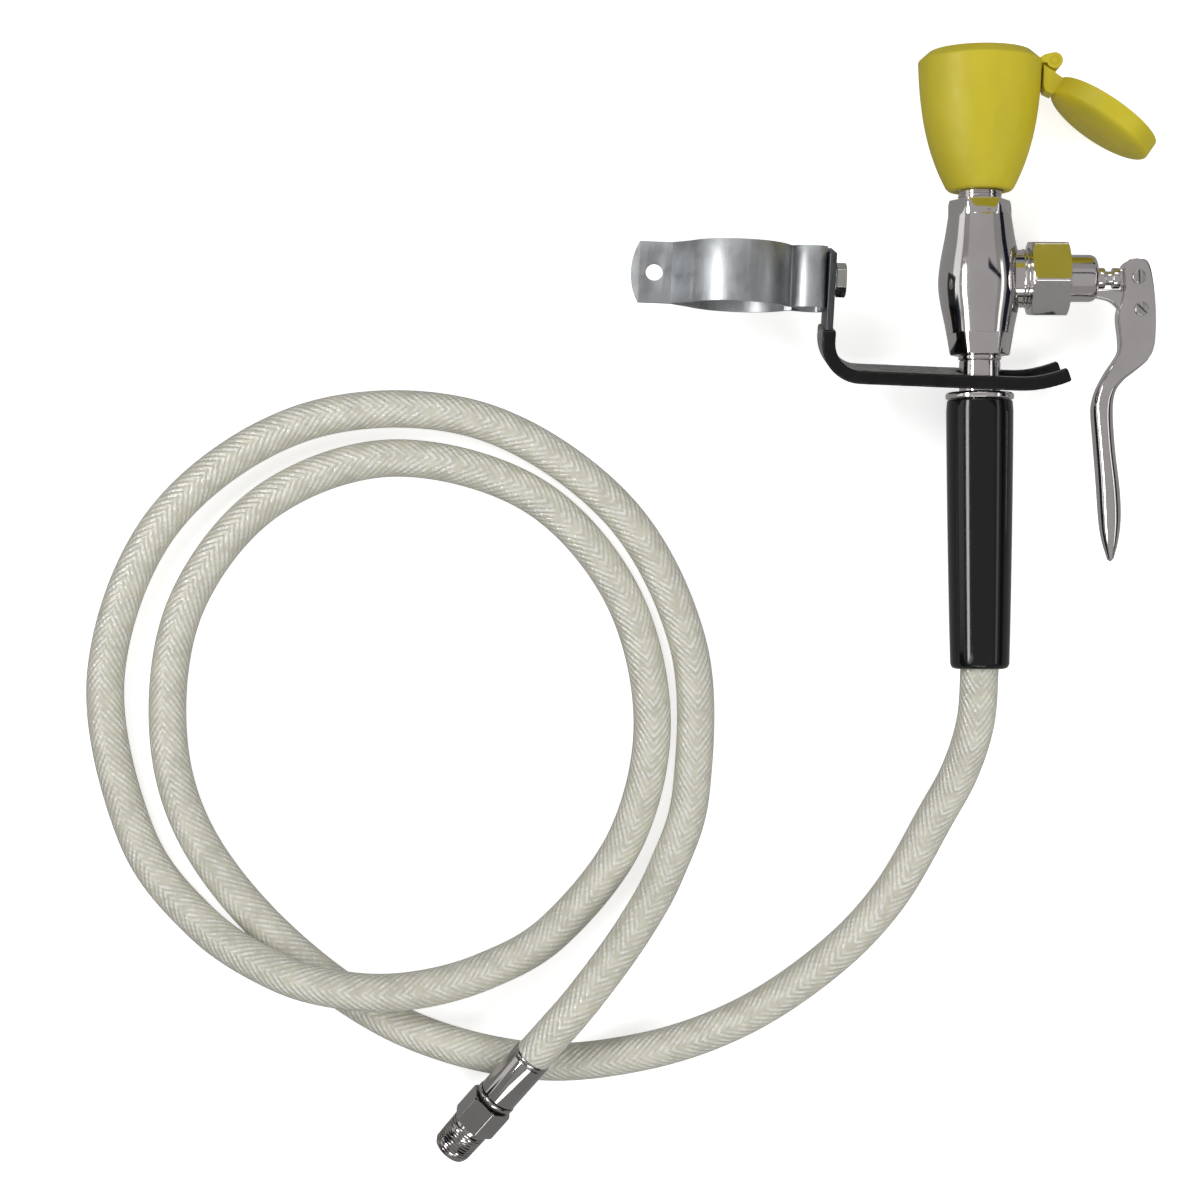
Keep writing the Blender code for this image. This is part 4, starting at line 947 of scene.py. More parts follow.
def thread_on(core, radius, end_radius, start, stop, sizes, paint, place):
    """Adds a helical ridge to a core that is still drawn along Z, then places both."""
    root = radius - sizes.thread_depth
    turns = (stop - start) / sizes.thread_pitch
    core.data.transform(Matrix.Translation((0, 0, -start)))
    run_tree(
        core, bpy.data.node_groups.get("helical_thread") or thread_tree(), paint,
        Root_radius=root, End_radius=end_radius - sizes.thread_depth, Length=stop - start,
        Turns=turns, Depth=sizes.thread_depth,
    )
    core.data.transform(place @ Matrix.Translation((0, 0, start)))
    return core


def body_outline(sizes, top, foot):
    rise = sizes.bulge_radius - sizes.top_radius
    fall = sizes.bulge_radius - sizes.foot_radius
    line = smooth(
        [
            (sizes.top_radius, top - sizes.top_pad), (sizes.top_radius + rise * 0.32, top * 0.54),
            (sizes.top_radius + rise * 0.80, top * 0.21), (sizes.bulge_radius - SKIN, -0.0020),
            (sizes.foot_radius + fall * 0.84, foot * 0.31),
            (sizes.foot_radius + fall * 0.42, foot * 0.62),
            (sizes.foot_radius + fall * 0.15, foot * 0.86), (sizes.foot_radius, foot),
        ],
        12,
    )
    ends = [(0, top), (sizes.top_radius - 0.0004, top), (sizes.top_radius, top - 0.0004)]
    return ends + [tuple(p) for p in line[:-1]] + [(sizes.foot_radius - 0.0004, foot), (0, foot)]


def make_body(sizes, paint):
    top = up_wand(high("valve_body").y)
    foot = up_wand(low("valve_body").y)
    body = turned("valve_body_casting", body_outline(sizes, top, foot), FINE, ALONG_WAND)
    clear = 0.004
    wide = polygon(sizes.bulge_radius * 2, 6)
    flats = polygon(sizes.flats / sqrt(3), 6)
    spread = polygon((sizes.flats + 2 * sizes.flats_spread) / sqrt(3), 6)
    half = sizes.bulge_radius * 1.2
    face = [(-half, -half), (half, -half), (half, half), (-half, half)]
    face_at = sizes.port_face
    shape_with(body, [
        frame_prism("top_flats", wide, spread, flats, top - sizes.top_pad, top, ALONG_WAND),
        frame_prism("foot_flats", wide, flats, spread, foot, foot + sizes.foot_pad, ALONG_WAND),
        prism("port_cut", face, face_at, face_at * 1.5, ALONG_PORT),
    ])
    soften(body, 0.0004, 3, 30)
    bores = (
        ("outlet", 0.0093, top - 0.0088, top + clear),
        ("inlet", 0.0079, foot - clear, foot + 0.0088),
    )
    shape_with(body, [rod(name, r, a, b, SMALL, ALONG_WAND) for name, r, a, b in bores])
    finish(body, "wand", paint, ["valve_body"])
    end = out_port(high("valve_body").x)
    root = sizes.port_radius - sizes.thread_depth
    outline = [(root - 0.004, face_at - 0.003), (root, face_at - 0.003), (root, end - 0.0006)]
    outline += [(root - 0.0006, end - SKIN), (root - 0.0025, end - SKIN)]
    port = turned("port_thread", outline, ROUND, Matrix())
    thread_on(
        port, sizes.port_radius, sizes.port_radius, face_at + 0.0005, end - 0.0012, sizes, paint,
        ALONG_PORT,
    )
    finish(port, "wand", paint)


def make_nipples(sizes, paint):
    bottom = up_wand(low("outlet_nipple").y)
    top = up_wand(high("outlet_nipple").y)
    body_top = up_wand(high("valve_body").y)
    cup_foot = cup_heights()[0]
    root = sizes.nipple_radius - sizes.thread_depth
    bore = 0.0065
    outline = [(bore, bottom), (root, bottom), (root, top), (bore, top)]
    core = turned("outlet_nipple_thread", rounded(outline, 0.0004, 3), ROUND, Matrix())
    thread_on(
        core, sizes.nipple_radius, sizes.nipple_radius, body_top - 0.002, cup_foot + 0.002,
        sizes, paint, ALONG_WAND,
    )
    finish(core, "wand", paint, ["outlet_nipple"])
    foot = up_wand(low("valve_body").y) - FIT
    tail = up_wand(low("inlet_nipple").y)
    head = up_wand(high("inlet_nipple").y)
    end = up_wand(high("grip_collar").y) + FIT
    relief = foot - 0.0016
    outline = [
        (0.0050, head), (0.0050, tail), (0.0070, tail), (0.0070, end), (sizes.neck_radius, end),
        (sizes.neck_radius, relief - 0.0007), (sizes.neck_radius - 0.0004, relief - 0.0003),
        (sizes.neck_radius - 0.0004, relief), (0.00895, relief), (0.00895, foot),
        (0.0075, foot), (0.0075, head),
    ]
    neck = turned("neck", rounded(outline, 0.0003, 3), ROUND, ALONG_WAND)
    finish(neck, "wand", paint, ["inlet_nipple"])


def make_nut_and_bonnet(sizes, paint):
    near = out_port(low("union_nut").x)
    far = out_port(high("union_nut").x)
    corner = span("union_nut").z / 2 / cos(radians(30) - sizes.nut_turn) - SKIN
    corner = min(corner, span("union_nut").y / 2 + 0.0016)
    chamfer = 0.0016
    bore = sizes.port_radius + FIT
    sleeve = 0.0099
    shoulder = far - 0.0022
    outline = [
        (bore, near), (corner - chamfer * 1.3, near), (corner - chamfer * 0.5, near + 0.0006),
        (corner + 0.0002, near + chamfer), (corner + 0.0002, far - chamfer),
        (corner - chamfer * 0.5, far - 0.0006), (corner - chamfer * 1.3, far),
        (sleeve + FIT, far), (sleeve + FIT, shoulder), (bore, shoulder),
    ]
    nut = turned("union_nut_hex", outline, FINE, ALONG_PORT)
    hexed = rounded(polygon(corner, 6, sizes.nut_turn), 0.0006, 5)
    six = prism("nut_hexagon", hexed, near - CLEAR, far + CLEAR, ALONG_PORT)
    shape_with(nut, [six], "INTERSECT")
    finish(nut, "wand", paint, ["union_nut"])

    end = BONNET_END
    foot = out_port(low("bonnet").x)
    outline = [
        (0.0072, foot), (0.0119, foot), (0.0119, foot + 0.0024), (sleeve, foot + 0.0024),
        (sleeve - SKIN, end - 0.0030), (sleeve - 0.0003, end - 0.0017),
        (sleeve - 0.0011, end - 0.0006), (sleeve - 0.0026, end), (0.0033, end),
        (0.0033, end - 0.0054), (0.0053, end - 0.0054), (0.0053, end - 0.0089),
        (0.0072, end - 0.0089),
    ]
    sleeve_piece = turned("bonnet_sleeve", rounded(outline, 0.0005, 4), FINE, ALONG_PORT)
    x, y = pivot_place().x - WAND.x, pivot_place().y - WAND.y
    root = end - 0.0042
    top = -0.0049
    arm = [(root, -0.0085), (root, top), (x - 0.0060, top), (x - 0.0015, top - 0.0022)]
    arm += arc((x, y), 0.0044 - SKIN, 75, -110, 30)
    under = [
        (x - 0.0066, y - 0.0032), (x - 0.0090, y + 0.0008), (x - 0.0125, y + 0.0038),
        (end, -0.0082),
    ]
    arm += [tuple(p) for p in smooth(under, 6)]
    fulcrum = soften(prism("fulcrum", arm, -0.0026, 0.0026, FLAT), 0.0006, 3, 50)
    shape_with(sleeve_piece, [fulcrum], "UNION")
    pivot_hole = rod("pivot_hole", SCREW_BORE, -CLEAR, CLEAR, SMALL, FLAT @ at(x, y))
    shape_with(sleeve_piece, [pivot_hole])
    finish(sleeve_piece, "wand", paint, ["bonnet"])


def make_stem(paint):
    foot = out_port(low("valve_stem").x)
    collar = BONNET_END + FIT
    neck = collar + 0.0031
    button = neck + 0.0032
    blade = button + 0.0031
    outline = [
        (0, foot), (0.0030, foot), (0.0030, collar), (0.0044, collar), (0.0044, neck),
        (0.00295, neck), (0.00295, button), (0.0044, button), (0.0044, blade), (0, blade),
    ]
    stem = turned("stem_rod", rounded(outline, 0.0004, 4, closed=False), ROUND, ALONG_PORT)
    x = out_port(stem_screw_place().x)
    y = 0.0
    radius = 0.0034 - SKIN
    eye = [(blade - 0.0010, -radius), (x, -radius)] + arc((x, y), radius, -75, 75, 30)
    eye += [(x, radius), (blade - 0.0010, radius)]
    shape_with(stem, [soften(prism("eye", eye, -0.0024, 0.0024, FLAT), 0.0004, 2, 50)], "UNION")
    slot, travel = SCREW_BORE, 0.0006
    hole = arc((x, travel), slot, 0, 180, 20) + arc((x, -travel), slot, 180, 360, 20)
    shape_with(stem, [prism("eye_slot", hole, -CLEAR, CLEAR, FLAT)])
    finish(stem, "stem", paint, ["valve_stem"])


class DRENCH_OT_valve(Operator):
    """Makes the valve body, its nipples and neck, union nut, bonnet and stem"""
    bl_idname = "drench.valve"
    bl_label = "Valve"

    def execute(self, context):
        sizes = context.scene.drench_valve
        paint = looks()["chrome"]
        make_body(sizes, paint)
        make_nipples(sizes, paint)
        make_nut_and_bonnet(sizes, paint)
        make_stem(paint)
        return {"FINISHED"}


# Lever -----------------------------------------------------------------------

def pivot_place():
    return middle("pivot_screw")


def stem_screw_place():
    return middle("stem_screw")


LEVER_BACK = (
    (-0.0014, 0.0211), (0.0028, 0.0199), (0.0050, 0.0123), (0.0062, 0.0005), (0.0062, -0.0095),
    (0.0054, -0.0163), (0.0029, -0.0213), (-0.0022, -0.0259), (-0.0066, -0.0295),
    (-0.0099, -0.0343), (-0.0109, -0.0425), (-0.0100, -0.0580), (-0.0080, -0.0750),
    (-0.0075, -0.0870), (-0.0085, -0.0965), (-0.0104, -0.1040),
)
LEVER_FRONT = (
    (-0.0050, 0.0206), (-0.0068, 0.0182), (-0.0066, 0.0081), (-0.0090, -0.0020),
    (-0.0082, -0.0115), (-0.0083, -0.0171), (-0.0106, -0.0213), (-0.0139, -0.0259),
    (-0.0177, -0.0326), (-0.0197, -0.0385), (-0.0202, -0.0436), (-0.0194, -0.0545),
    (-0.0181, -0.0713), (-0.0169, -0.0881), (-0.0156, -0.0965), (-0.0132, -0.1046),
)
LEVER_TIP = (-0.0118, -0.1056)
# How square the lever's section is, and its half thickness as a share of the cheeks'
LEVER_SQUARE = (24, 30, 30, 30, 28, 22, 12, 6, 3.6, 2.6, 2.1, 2.0, 2.0, 2.0, 2.0, 2.0)
LEVER_THICK = (1, 1, 1, 1, 1, 1, 1, 0.99, 0.97, 0.94, 0.92, 0.92, 0.90, 0.80, 0.62, 0.34)


def squircle(share, power):
    """A point on a rounded square, that share of the way round."""
    turn = tau * share
    c, s = cos(turn), sin(turn)
    grow = (abs(c) ** power + abs(s) ** power) ** (-1 / power)
    return c * grow, s * grow


def make_lever(sizes, paint):
    steps = 8
    back = smooth(LEVER_BACK, steps)
    front = smooth(LEVER_FRONT, steps)
    squares = smooth([(s, 0) for s in LEVER_SQUARE], steps)
    thicks = smooth([(t, 0) for t in LEVER_THICK], steps)
    around = 56
    half = sizes.cheek_half - SKIN
    rings = []
    for b, f, square, thick in zip(back, front, squares, thicks):
        centre = (b + f) / 2
        across = (b - f) / 2
        ring = []
        for i in range(around):
            u, v = squircle(i / around, max(2.0, square.x))
            point = centre + across * u
            ring.append((point.x, point.y, v * half * min(1.0, thick.x)))
        rings.append(ring)
    tip_centre = Vector(LEVER_TIP)
    first = rings[-1]
    for share in (0.72, 0.40, 0.12):
        ring = []
        for x, y, z in first:
            point = tip_centre.lerp(Vector((x, y)), share)
            ring.append((point.x, point.y, z * share))
        rings.append(ring)
    top_centre = (back[0] + front[0]) / 2
    top = rings[0]
    crown = []
    for x, y, z in top:
        point = top_centre.lerp(Vector((x, y)), 0.6)
        crown.append((point.x, point.y + 0.0003, z * 0.97))
    place = Matrix.Translation((pivot_place().x, pivot_place().y, WAND.z))
    lever = lofted("lever_casting", [crown] + rings, place)
    slot = sizes.slot_half
    opening = [(-0.03, -0.0120), (0.03, -0.0120), (0.03, 0.03), (-0.03, 0.03)]
    room = [(-0.03, -0.0260), (-0.0040, -0.0200), (0.0010, -0.0100), (-0.03, -0.0100)]
    screw = stem_screw_place() - pivot_place()
    shape_with(lever, [
        prism("cheek_slot", opening, -slot, slot, place),
        prism("arm_room", room, -slot, slot, place),
        rod("pivot_bore", 0.0019, -CLEAR, CLEAR, SMALL, place),
        rod("screw_bore", 0.0019, -CLEAR, CLEAR, SMALL, place @ at(screw.x, screw.y)),
    ])
    soften(lever, 0.00022, 2, 55)
    finish(lever, "lever", paint, ["lever"], sharp=radians(40))


def make_screw(name, node, turn, sizes, paint):
    """A cheese-head screw with its slot, seen from its head."""
    bottom = low(node).z
    top = high(node).z - SKIN
    under = WAND.z + sizes.cheek_half + FIT
    radius = sizes.screw_radius - SKIN
    outline = [
        (0, bottom), (0.0016, bottom), (0.0016, under), (radius, under), (radius, top - 0.0005),
        (radius - 0.0003, top - 0.0001), (radius * 0.6, top), (0, top),
    ]
    centre = middle(node)
    place = Matrix.Translation((centre.x, centre.y, 0)) @ Matrix.Rotation(turn, 4, "Z")
    made = turned(name, rounded(outline, 0.0003, 3, closed=False), SMALL, place)
    half, reach = sizes.screw_slot / 2, sizes.screw_radius * 1.2
    groove = [(-half, top + 0.0001), (0, top - 0.0009), (half, top + 0.0001)]
    across = place @ Matrix.Rotation(radians(90), 4, "X")
    shape_with(made, [prism("groove", groove, -reach, reach, across)])
    finish(made, "lever", paint, [node])


class DRENCH_OT_lever(Operator):
    """Makes the squeeze lever and its two slotted screws"""
    bl_idname = "drench.lever"
    bl_label = "Lever"

    def execute(self, context):
        sizes = context.scene.drench_lever
        paints = looks()
        make_lever(sizes, paints["chrome"])
        steel = paints["stainless_steel"]
        make_screw("pivot_screw_head", "pivot_screw", radians(48), sizes, steel)
        make_screw("stem_screw_head", "stem_screw", radians(4), sizes, steel)
        return {"FINISHED"}


# Grip ------------------------------------------------------------------------

class DRENCH_OT_grip(Operator):
    """Makes the grip and the collar above it"""
    bl_idname = "drench.grip"
    bl_label = "Grip"

    def execute(self, context):
        paints = looks()
        top = up_wand(high("grip").y)
        end = up_wand(low("grip").y)
        wide = span("grip").x / 2 - SKIN
        narrow = 0.0124 - SKIN
        taper = wide - narrow
        side = [
            (wide - taper * (0.35 * s + 0.65 * s * s), top - (top - end) * 0.978 * s)
            for s in (i / 24 for i in range(25))
        ]
        bore = 0.0098
        hose_bore = 0.0089
        outline = [(bore, top), (wide - 0.0004, top)] + side[1:]
        outline += [
            (narrow - 0.0003, end + 0.0013), (narrow - 0.0010, end + 0.0004),
            (narrow - 0.0024, end), (hose_bore, end), (hose_bore, end + 0.0097),
            (bore, end + 0.0097),
        ]
        grip = turned("grip_sleeve", rounded(outline, 0.0009, 5), FINE, ALONG_WAND)
        finish(grip, "wand", paints["black_grip"], ["grip"])
        bottom = up_wand(low("grip_collar").y)
        head = up_wand(high("grip_collar").y)
        radius = span("grip_collar").x / 2 - SKIN
        outline = [
            (0.0073, bottom), (radius - 0.0004, bottom), (radius, bottom + 0.0004),
            (radius, head - 0.0008), (radius - 0.0008, head), (0.0073, head),
        ]
        collar = turned("grip_collar_band", rounded(outline, 0.0003, 3), FINE, ALONG_WAND)
        finish(collar, "wand", paints["chrome"], ["grip_collar"])
        return {"FINISHED"}


# Hose ------------------------------------------------------------------------

def even_route(points, gap, lowest):
    """Points an equal way apart along a curve, none below the lowest height."""
    reach = [0.0]
    for a, b in zip(points, points[1:]):
        reach.append(reach[-1] + (b - a).length)
    count = ceil(reach[-1] / gap)
    chosen = []
    leg = 0
    for number in range(count + 1):
        wanted = reach[-1] * number / count
        while leg < len(points) - 2 and reach[leg + 1] < wanted:
            leg += 1
        share = (wanted - reach[leg]) / (reach[leg + 1] - reach[leg])
        point = points[leg].lerp(points[leg + 1], min(share, 1.0))
        chosen.append(Vector((point.x, point.y, max(point.z, lowest))))
    return chosen, reach[-1]


def hose_skin(name, path, radius, around):
    """A tube along the path with closed ends and a UV map: U along it, V round it."""
    bm = bmesh.new()
    lay = bm.loops.layers.uv.new("hose_lay")
    side = Vector((0, 0, 1))
    rings = []
    for i, point in enumerate(path):
        ahead = path[min(i + 1, len(path) - 1)] - path[max(i - 1, 0)]
        way = ahead.normalized()
        side = (side - way * side.dot(way)).normalized()
        other = way.cross(side)
        rings.append([
            bm.verts.new(
                point + (side * cos(tau * k / around) + other * sin(tau * k / around)) * radius
            )
            for k in range(around)
        ])
    last = len(path) - 1
    for i, (one, two) in enumerate(zip(rings, rings[1:])):
        for k in range(around):
            face = bm.faces.new((one[k], one[(k + 1) % around], two[(k + 1) % around], two[k]))
            spots = ((i, k), (i, k + 1), (i + 1, k + 1), (i + 1, k))
            for loop, (u, v) in zip(face.loops, spots):
                loop[lay].uv = (u / last, v / around)
    for ring in (rings[0], rings[-1]):
        bm.faces.new(ring)
    bmesh.ops.recalc_face_normals(bm, faces=bm.faces)
    mesh = bpy.data.meshes.new(name)
    bm.to_mesh(mesh)
    bm.free()
    return new_object(name, mesh)


def fitting_place():
    """The end fitting's own frame: its Z runs on from the hose."""
    before, last = (Vector(p) for p in HOSE_ROUTE[-2:])
    way = (last - before).normalized()
    turn = way.to_track_quat("Z", "Y").to_matrix().to_4x4()
    return Matrix.Translation(last + way * FIT) @ turn


def make_fitting(sizes, valve, paints):
    place = fitting_place()
    radius = sizes.ferrule_radius - SKIN
    long = 0.0245
    inside = radius - 0.0010
    outline = [(inside, 0), (radius - 0.0004, 0), (radius, 0.0005)]
    dip = radius - 0.00025
    outline += [(radius, 0.0016), (dip, 0.0019), (dip, 0.0022), (radius, 0.0025)]
    outline += [(radius, long - 0.0004), (radius - 0.0003, long), (inside, long)]
    ferrule = turned("hose_ferrule_sleeve", rounded(outline, 0.0003, 3), ROUND, place)
    finish(ferrule, "wand", paints["fitting"], ["hose_ferrule"])

    ring = long + FIT
    ring_end = ring + 0.0019
    hex_at = ring_end + 0.0014
    hex_end = hex_at + 0.0140
    end = hex_end + 0.0163
    collar = 0.0089 - SKIN
    outline = [
        (0.0040, 0.0005), (inside - FIT, 0.0010), (inside - FIT, ring), (collar - 0.0003, ring),
        (collar, ring + 0.0004), (collar, ring_end - 0.0004), (collar - 0.0003, ring_end),
        (0.0062, ring_end), (0.0062, hex_at + 0.0060), (0.0040, hex_at + 0.0060),
    ]
    tail = turned("hose_tail_collar", rounded(outline, 0.0002, 3), ROUND, place)
    finish(tail, "wand", paints["fitting"], ["hose_tail"])

    chamfer = 0.0013
    corner = sizes.adapter_flats / sqrt(3)
    outline = [
        (0.0065, hex_at), (corner - chamfer * 1.4, hex_at),
        (corner - chamfer * 0.4, hex_at + 0.0005), (corner + 0.0001, hex_at + chamfer),
        (corner + 0.0001, hex_end - chamfer),
        (corner - chamfer * 0.4, hex_end - 0.0005), (corner - chamfer * 1.4, hex_end),
        (0.0060, hex_end), (0.0048, hex_end - 0.002), (0.0048, hex_at + 0.0063),
        (0.0065, hex_at + 0.0063),
    ]
    nut = turned("adapter_hex", outline, ROUND, place)
    hexed = rounded(polygon(corner - SKIN, 6, radians(12)), 0.0004, 4)
    six = prism("adapter_hexagon", hexed, hex_at - CLEAR, hex_end + CLEAR, place)
    shape_with(nut, [six], "INTERSECT")
    finish(nut, "inlet", paints["fitting"], ["inlet_adapter"])

    top = sizes.thread_radius - SKIN
    root = top - valve.thread_depth
    outline = [
        (0.0049, hex_end - 0.001), (root - 0.0003, hex_end - 0.001), (root, hex_end + 0.0012),
        (root - 0.0002, end - 0.0012), (root - 0.0008, end), (0.0056, end),
        (0.0049, end - 0.0010),
    ]
    male = turned("inlet_thread", outline, ROUND, Matrix())
    thread_on(
        male, top, top - 0.0003, hex_end + 0.0012, end - 0.0014, valve, paints["fitting"],
        place,
    )
    finish(male, "inlet", paints["fitting"])
    return ferrule, tail, nut, male


class DRENCH_OT_hose(Operator):
    """Makes the braided hose along its route and what is crimped on its end"""
    bl_idname = "drench.hose"
    bl_label = "Hose"

    def execute(self, context):
        sizes = context.scene.drench_hose
        paints = looks()
        tints = context.scene.drench_finishes
        path, total = even_route(smooth(HOSE_ROUTE, 12), 0.0026, sizes.radius + 0.0001)
        wall = braided("braided_hose", tuple(tints.hose), tuple(tints.yarn), sizes, total)
        hose = hose_skin("hose_wall", path, sizes.radius, 36)
        finish(hose, "wand", wall, ["hose"])
        pieces = make_fitting(sizes, context.scene.drench_valve, paints)
        return {"FINISHED"}


# Hook and clamp --------------------------------------------------------------

def hook_place(sizes):
    turn = Euler((sizes.tilt, 0, sizes.turn)).to_matrix().to_4x4()
    return Matrix.Translation(WAND + Vector((0, -sizes.drop, 0))) @ turn


PLATE_AT = 0.0653
PLATE_TOP = 0.0510
COATING_TOP = 0.0190
TIP_REACH = 0.0340
TIP_RISE = 0.0044
TIP_RUN = 0.0200
SLOT_FLARE = 0.0008
BEND_RADIUS = 0.0140
BOLT_HEIGHT = 0.0387
BOLT_RADIUS = 0.0039


def bar_path():
    """The middle of the hook's bar: down the plate, round the bend, out and up the tips."""
    corner = (-PLATE_AT + BEND_RADIUS, BEND_RADIUS)
    bend = arc(corner, BEND_RADIUS, 180, 270, 24)
    start = TIP_REACH - TIP_RUN
    lift = [(start + TIP_RUN * s, TIP_RISE * s * s) for s in (i / 12 for i in range(13))]
    return [(-PLATE_AT, PLATE_TOP)] + bend + lift


def fork_outline(sizes, grow):
    """The bar and its fork seen from above, as (along, across), grown by that much."""
    half = sizes.width / 2 + grow
    slot = sizes.slot_radius + sizes.coating - grow
    tip = TIP_REACH + 0.004
    back = -PLATE_AT - 0.010
    mouth = slot + SLOT_FLARE
    outline = [(back, -half), (tip, -half), (tip, -mouth)] + arc((0, 0), slot, 270, 90, 32)
    return outline + [(tip, mouth), (tip, half), (back, half)]


def bar_solid(name, sizes, thickness, grow, place):
    """The bent bar as its side view kept inside its plan view."""
    path = [Vector(p) for p in bar_path()]
    path[-1] = path[-1] + (path[-1] - path[-2]).normalized() * grow
    made = prism(name, ribbon(path, thickness), -0.03, 0.03, place)
    plan = [(x, -z) for x, z in fork_outline(sizes, grow)]
    across = place @ Matrix.Rotation(radians(-90), 4, "X")
    return shape_with(made, [prism(f"{name}_plan", plan, -0.03, 0.08, across)], "INTERSECT")


def make_hook(sizes, paints):
    place = hook_place(sizes)
    bolt = place @ at(-PLATE_AT, BOLT_HEIGHT) @ Matrix.Rotation(radians(90), 4, "Y")
    bar = bar_solid("hook_bar", sizes, sizes.thickness - 2 * SKIN, -SKIN, place)
    shape_with(bar, [rod("bolt_bore", BOLT_RADIUS + FIT, -CLEAR, CLEAR, SMALL, bolt)])
    soften(bar, 0.0005, 3, 50)
    finish(bar, "hook", paints["dark_steel"], ["hook_bracket"])
    grow = sizes.coating
    coat = bar_solid("fork_dip", sizes, sizes.thickness + 2 * grow, grow, place)
    above = [(-0.09, COATING_TOP), (0, COATING_TOP), (0, 0.08), (-0.09, 0.08)]
    shape_with(coat, [prism("dip_end", above, -0.03, 0.03, place)])
    melt(coat, 0.0006, 9)
    finish(coat, "hook", paints["dipped_vinyl"], ["fork_coating"], sharp=pi)
    return bolt


def hex_solid(name, bottom, top, place, chamfer_top):
    """A hexagon head or nut 12.7 mm across flats, chamfered on its outer face."""
    corner = 0.0127 / sqrt(3) - SKIN
    cut = 0.0009
    outline = [(0, bottom), (corner + 0.0002, bottom), (corner + 0.0002, top - cut * 0.6)]
    outline += [(corner - cut, top), (0, top)]
    if not chamfer_top:
        outline = [(r, bottom + top - h) for r, h in outline[::-1]]
    made = turned(name, outline, ROUND, place)
    hexed = rounded(polygon(corner, 6, radians(18)), 0.0003, 3)
    six = prism(f"{name}_six", hexed, bottom - CLEAR, top + CLEAR, place)
    return shape_with(made, [six], "INTERSECT")


def make_bolt(sizes, bolt, paints):
    plate = sizes.thickness / 2
    washer = plate + FIT
    head = washer + 0.0006 + FIT
    nut_at = -plate - FIT - sizes.strap - FIT
    shank_end = nut_at - 0.0065 - 0.0020
    made = hex_solid("bolt_head", head, head + 0.0041 - SKIN, bolt, True)
    shank = rounded(
        [
            (0, shank_end), (BOLT_RADIUS, shank_end), (BOLT_RADIUS, head + 0.001),
            (0, head + 0.001),
        ],
        0.0006, 3, False,
    )
    shape_with(made, [turned("shank", shank, SMALL, bolt)], "UNION")
    finish(made, "hook", paints["stainless_steel"], ["bracket_bolt"])
    ring = [(BOLT_RADIUS + FIT, washer), (0.0064, washer), (0.0064, washer + 0.0006)]
    ring += [(BOLT_RADIUS + FIT, washer + 0.0006)]
    made = turned("lock_washer_ring", ring, SMALL, bolt)
    finish(made, "hook", paints["zinc_plate"], ["lock_washer"])
    nut = hex_solid("bracket_nut_hex", nut_at - 0.0065, nut_at, bolt, False)
    shape_with(nut, [rod("nut_bore", BOLT_RADIUS + FIT, -0.02, 0.02, SMALL, bolt)])
    finish(nut, "hook", paints["zinc_plate"], ["bracket_nut"])


def clamp_path(sizes):
    """Half the strap's middle line, ear tip to end plate, as (back from the plate, out)."""
    centre = -0.0362
    middle_radius = sizes.pipe_radius + sizes.strap / 2
    long, ear_long = 0.0812, 0.0175
    out = FIT / 2 + sizes.strap / 2
    ear = smooth([(-long, out), (-long + ear_long * 0.6, out), (-long + ear_long, out)], 3)
    ear += [Vector((-long + ear_long + 0.0006, out + 0.0009))]
    rise = arc((centre, 0), middle_radius, 153, 20, 60)
    base_top = 0.0115 - sizes.strap / 2
    face = -sizes.strap / 2
    pinch = 0.0062
    base = smooth([
        (centre + middle_radius + 0.0008, pinch), (-0.0120, pinch + 0.0016),
        (-0.0085, base_top - 0.0007), (-0.0040, base_top), (face - 0.0008, base_top - 0.0007),
        (face, base_top - 0.0022),
    ], 4)
    return [tuple(p) for p in ear] + rise + [tuple(p) for p in base]


def make_clamp(sizes, paint):
    bolt = hook_place(sizes) @ at(-PLATE_AT - sizes.thickness / 2 - FIT, BOLT_HEIGHT)
    place = bolt @ Matrix.Rotation(-sizes.tilt, 4, "X")
    half = clamp_path(sizes)
    whole = half + [(x, -z) for x, z in reversed(half)]
    wide = 0.0254
    upright = place @ Matrix.Rotation(radians(90), 4, "X")
    band = ribbon(whole, sizes.strap - 2 * SKIN)
    strap = prism("clamp_strap", band, -wide / 2, wide / 2, upright)
    end_radius = 0.0255
    centre = -0.0812 + end_radius
    sweep = arc((centre, 0), end_radius - SKIN, 215, 145, 40)
    plan = [(0.01, wide), (0.01, -wide), (sweep[0][0], -wide)] + sweep + [(sweep[-1][0], wide)]
    shape_with(strap, [prism("ear_ends", plan, -0.05, 0.05, place)], "INTERSECT")
    hole = -0.0812 + 0.0175 * 0.56
    along = place @ Matrix.Rotation(radians(90), 4, "Y")
    shape_with(strap, [
        rod("ear_hole", 0.0036, -CLEAR, CLEAR, SMALL, place @ at(hole, 0)),
        rod("clamp_bore", BOLT_RADIUS + FIT, -0.006, CLEAR, SMALL, along),
    ])
    soften(strap, 0.00025, 2, 60)
    finish(strap, "clamp", paint, ["pipe_clamp"])


class DRENCH_OT_hook(Operator):
    """Makes the dipped hook, its bolt and nut, and the pipe clamp"""
    bl_idname = "drench.hook"
    bl_label = "Hook and clamp"

    def execute(self, context):
        sizes = context.scene.drench_hook
        paints = looks()
        bolt = make_hook(sizes, paints)
        make_bolt(sizes, bolt, paints)
        make_clamp(sizes, paints["zinc_plate"])
        return {"FINISHED"}


# Inner pieces ----------------------------------------------------------------

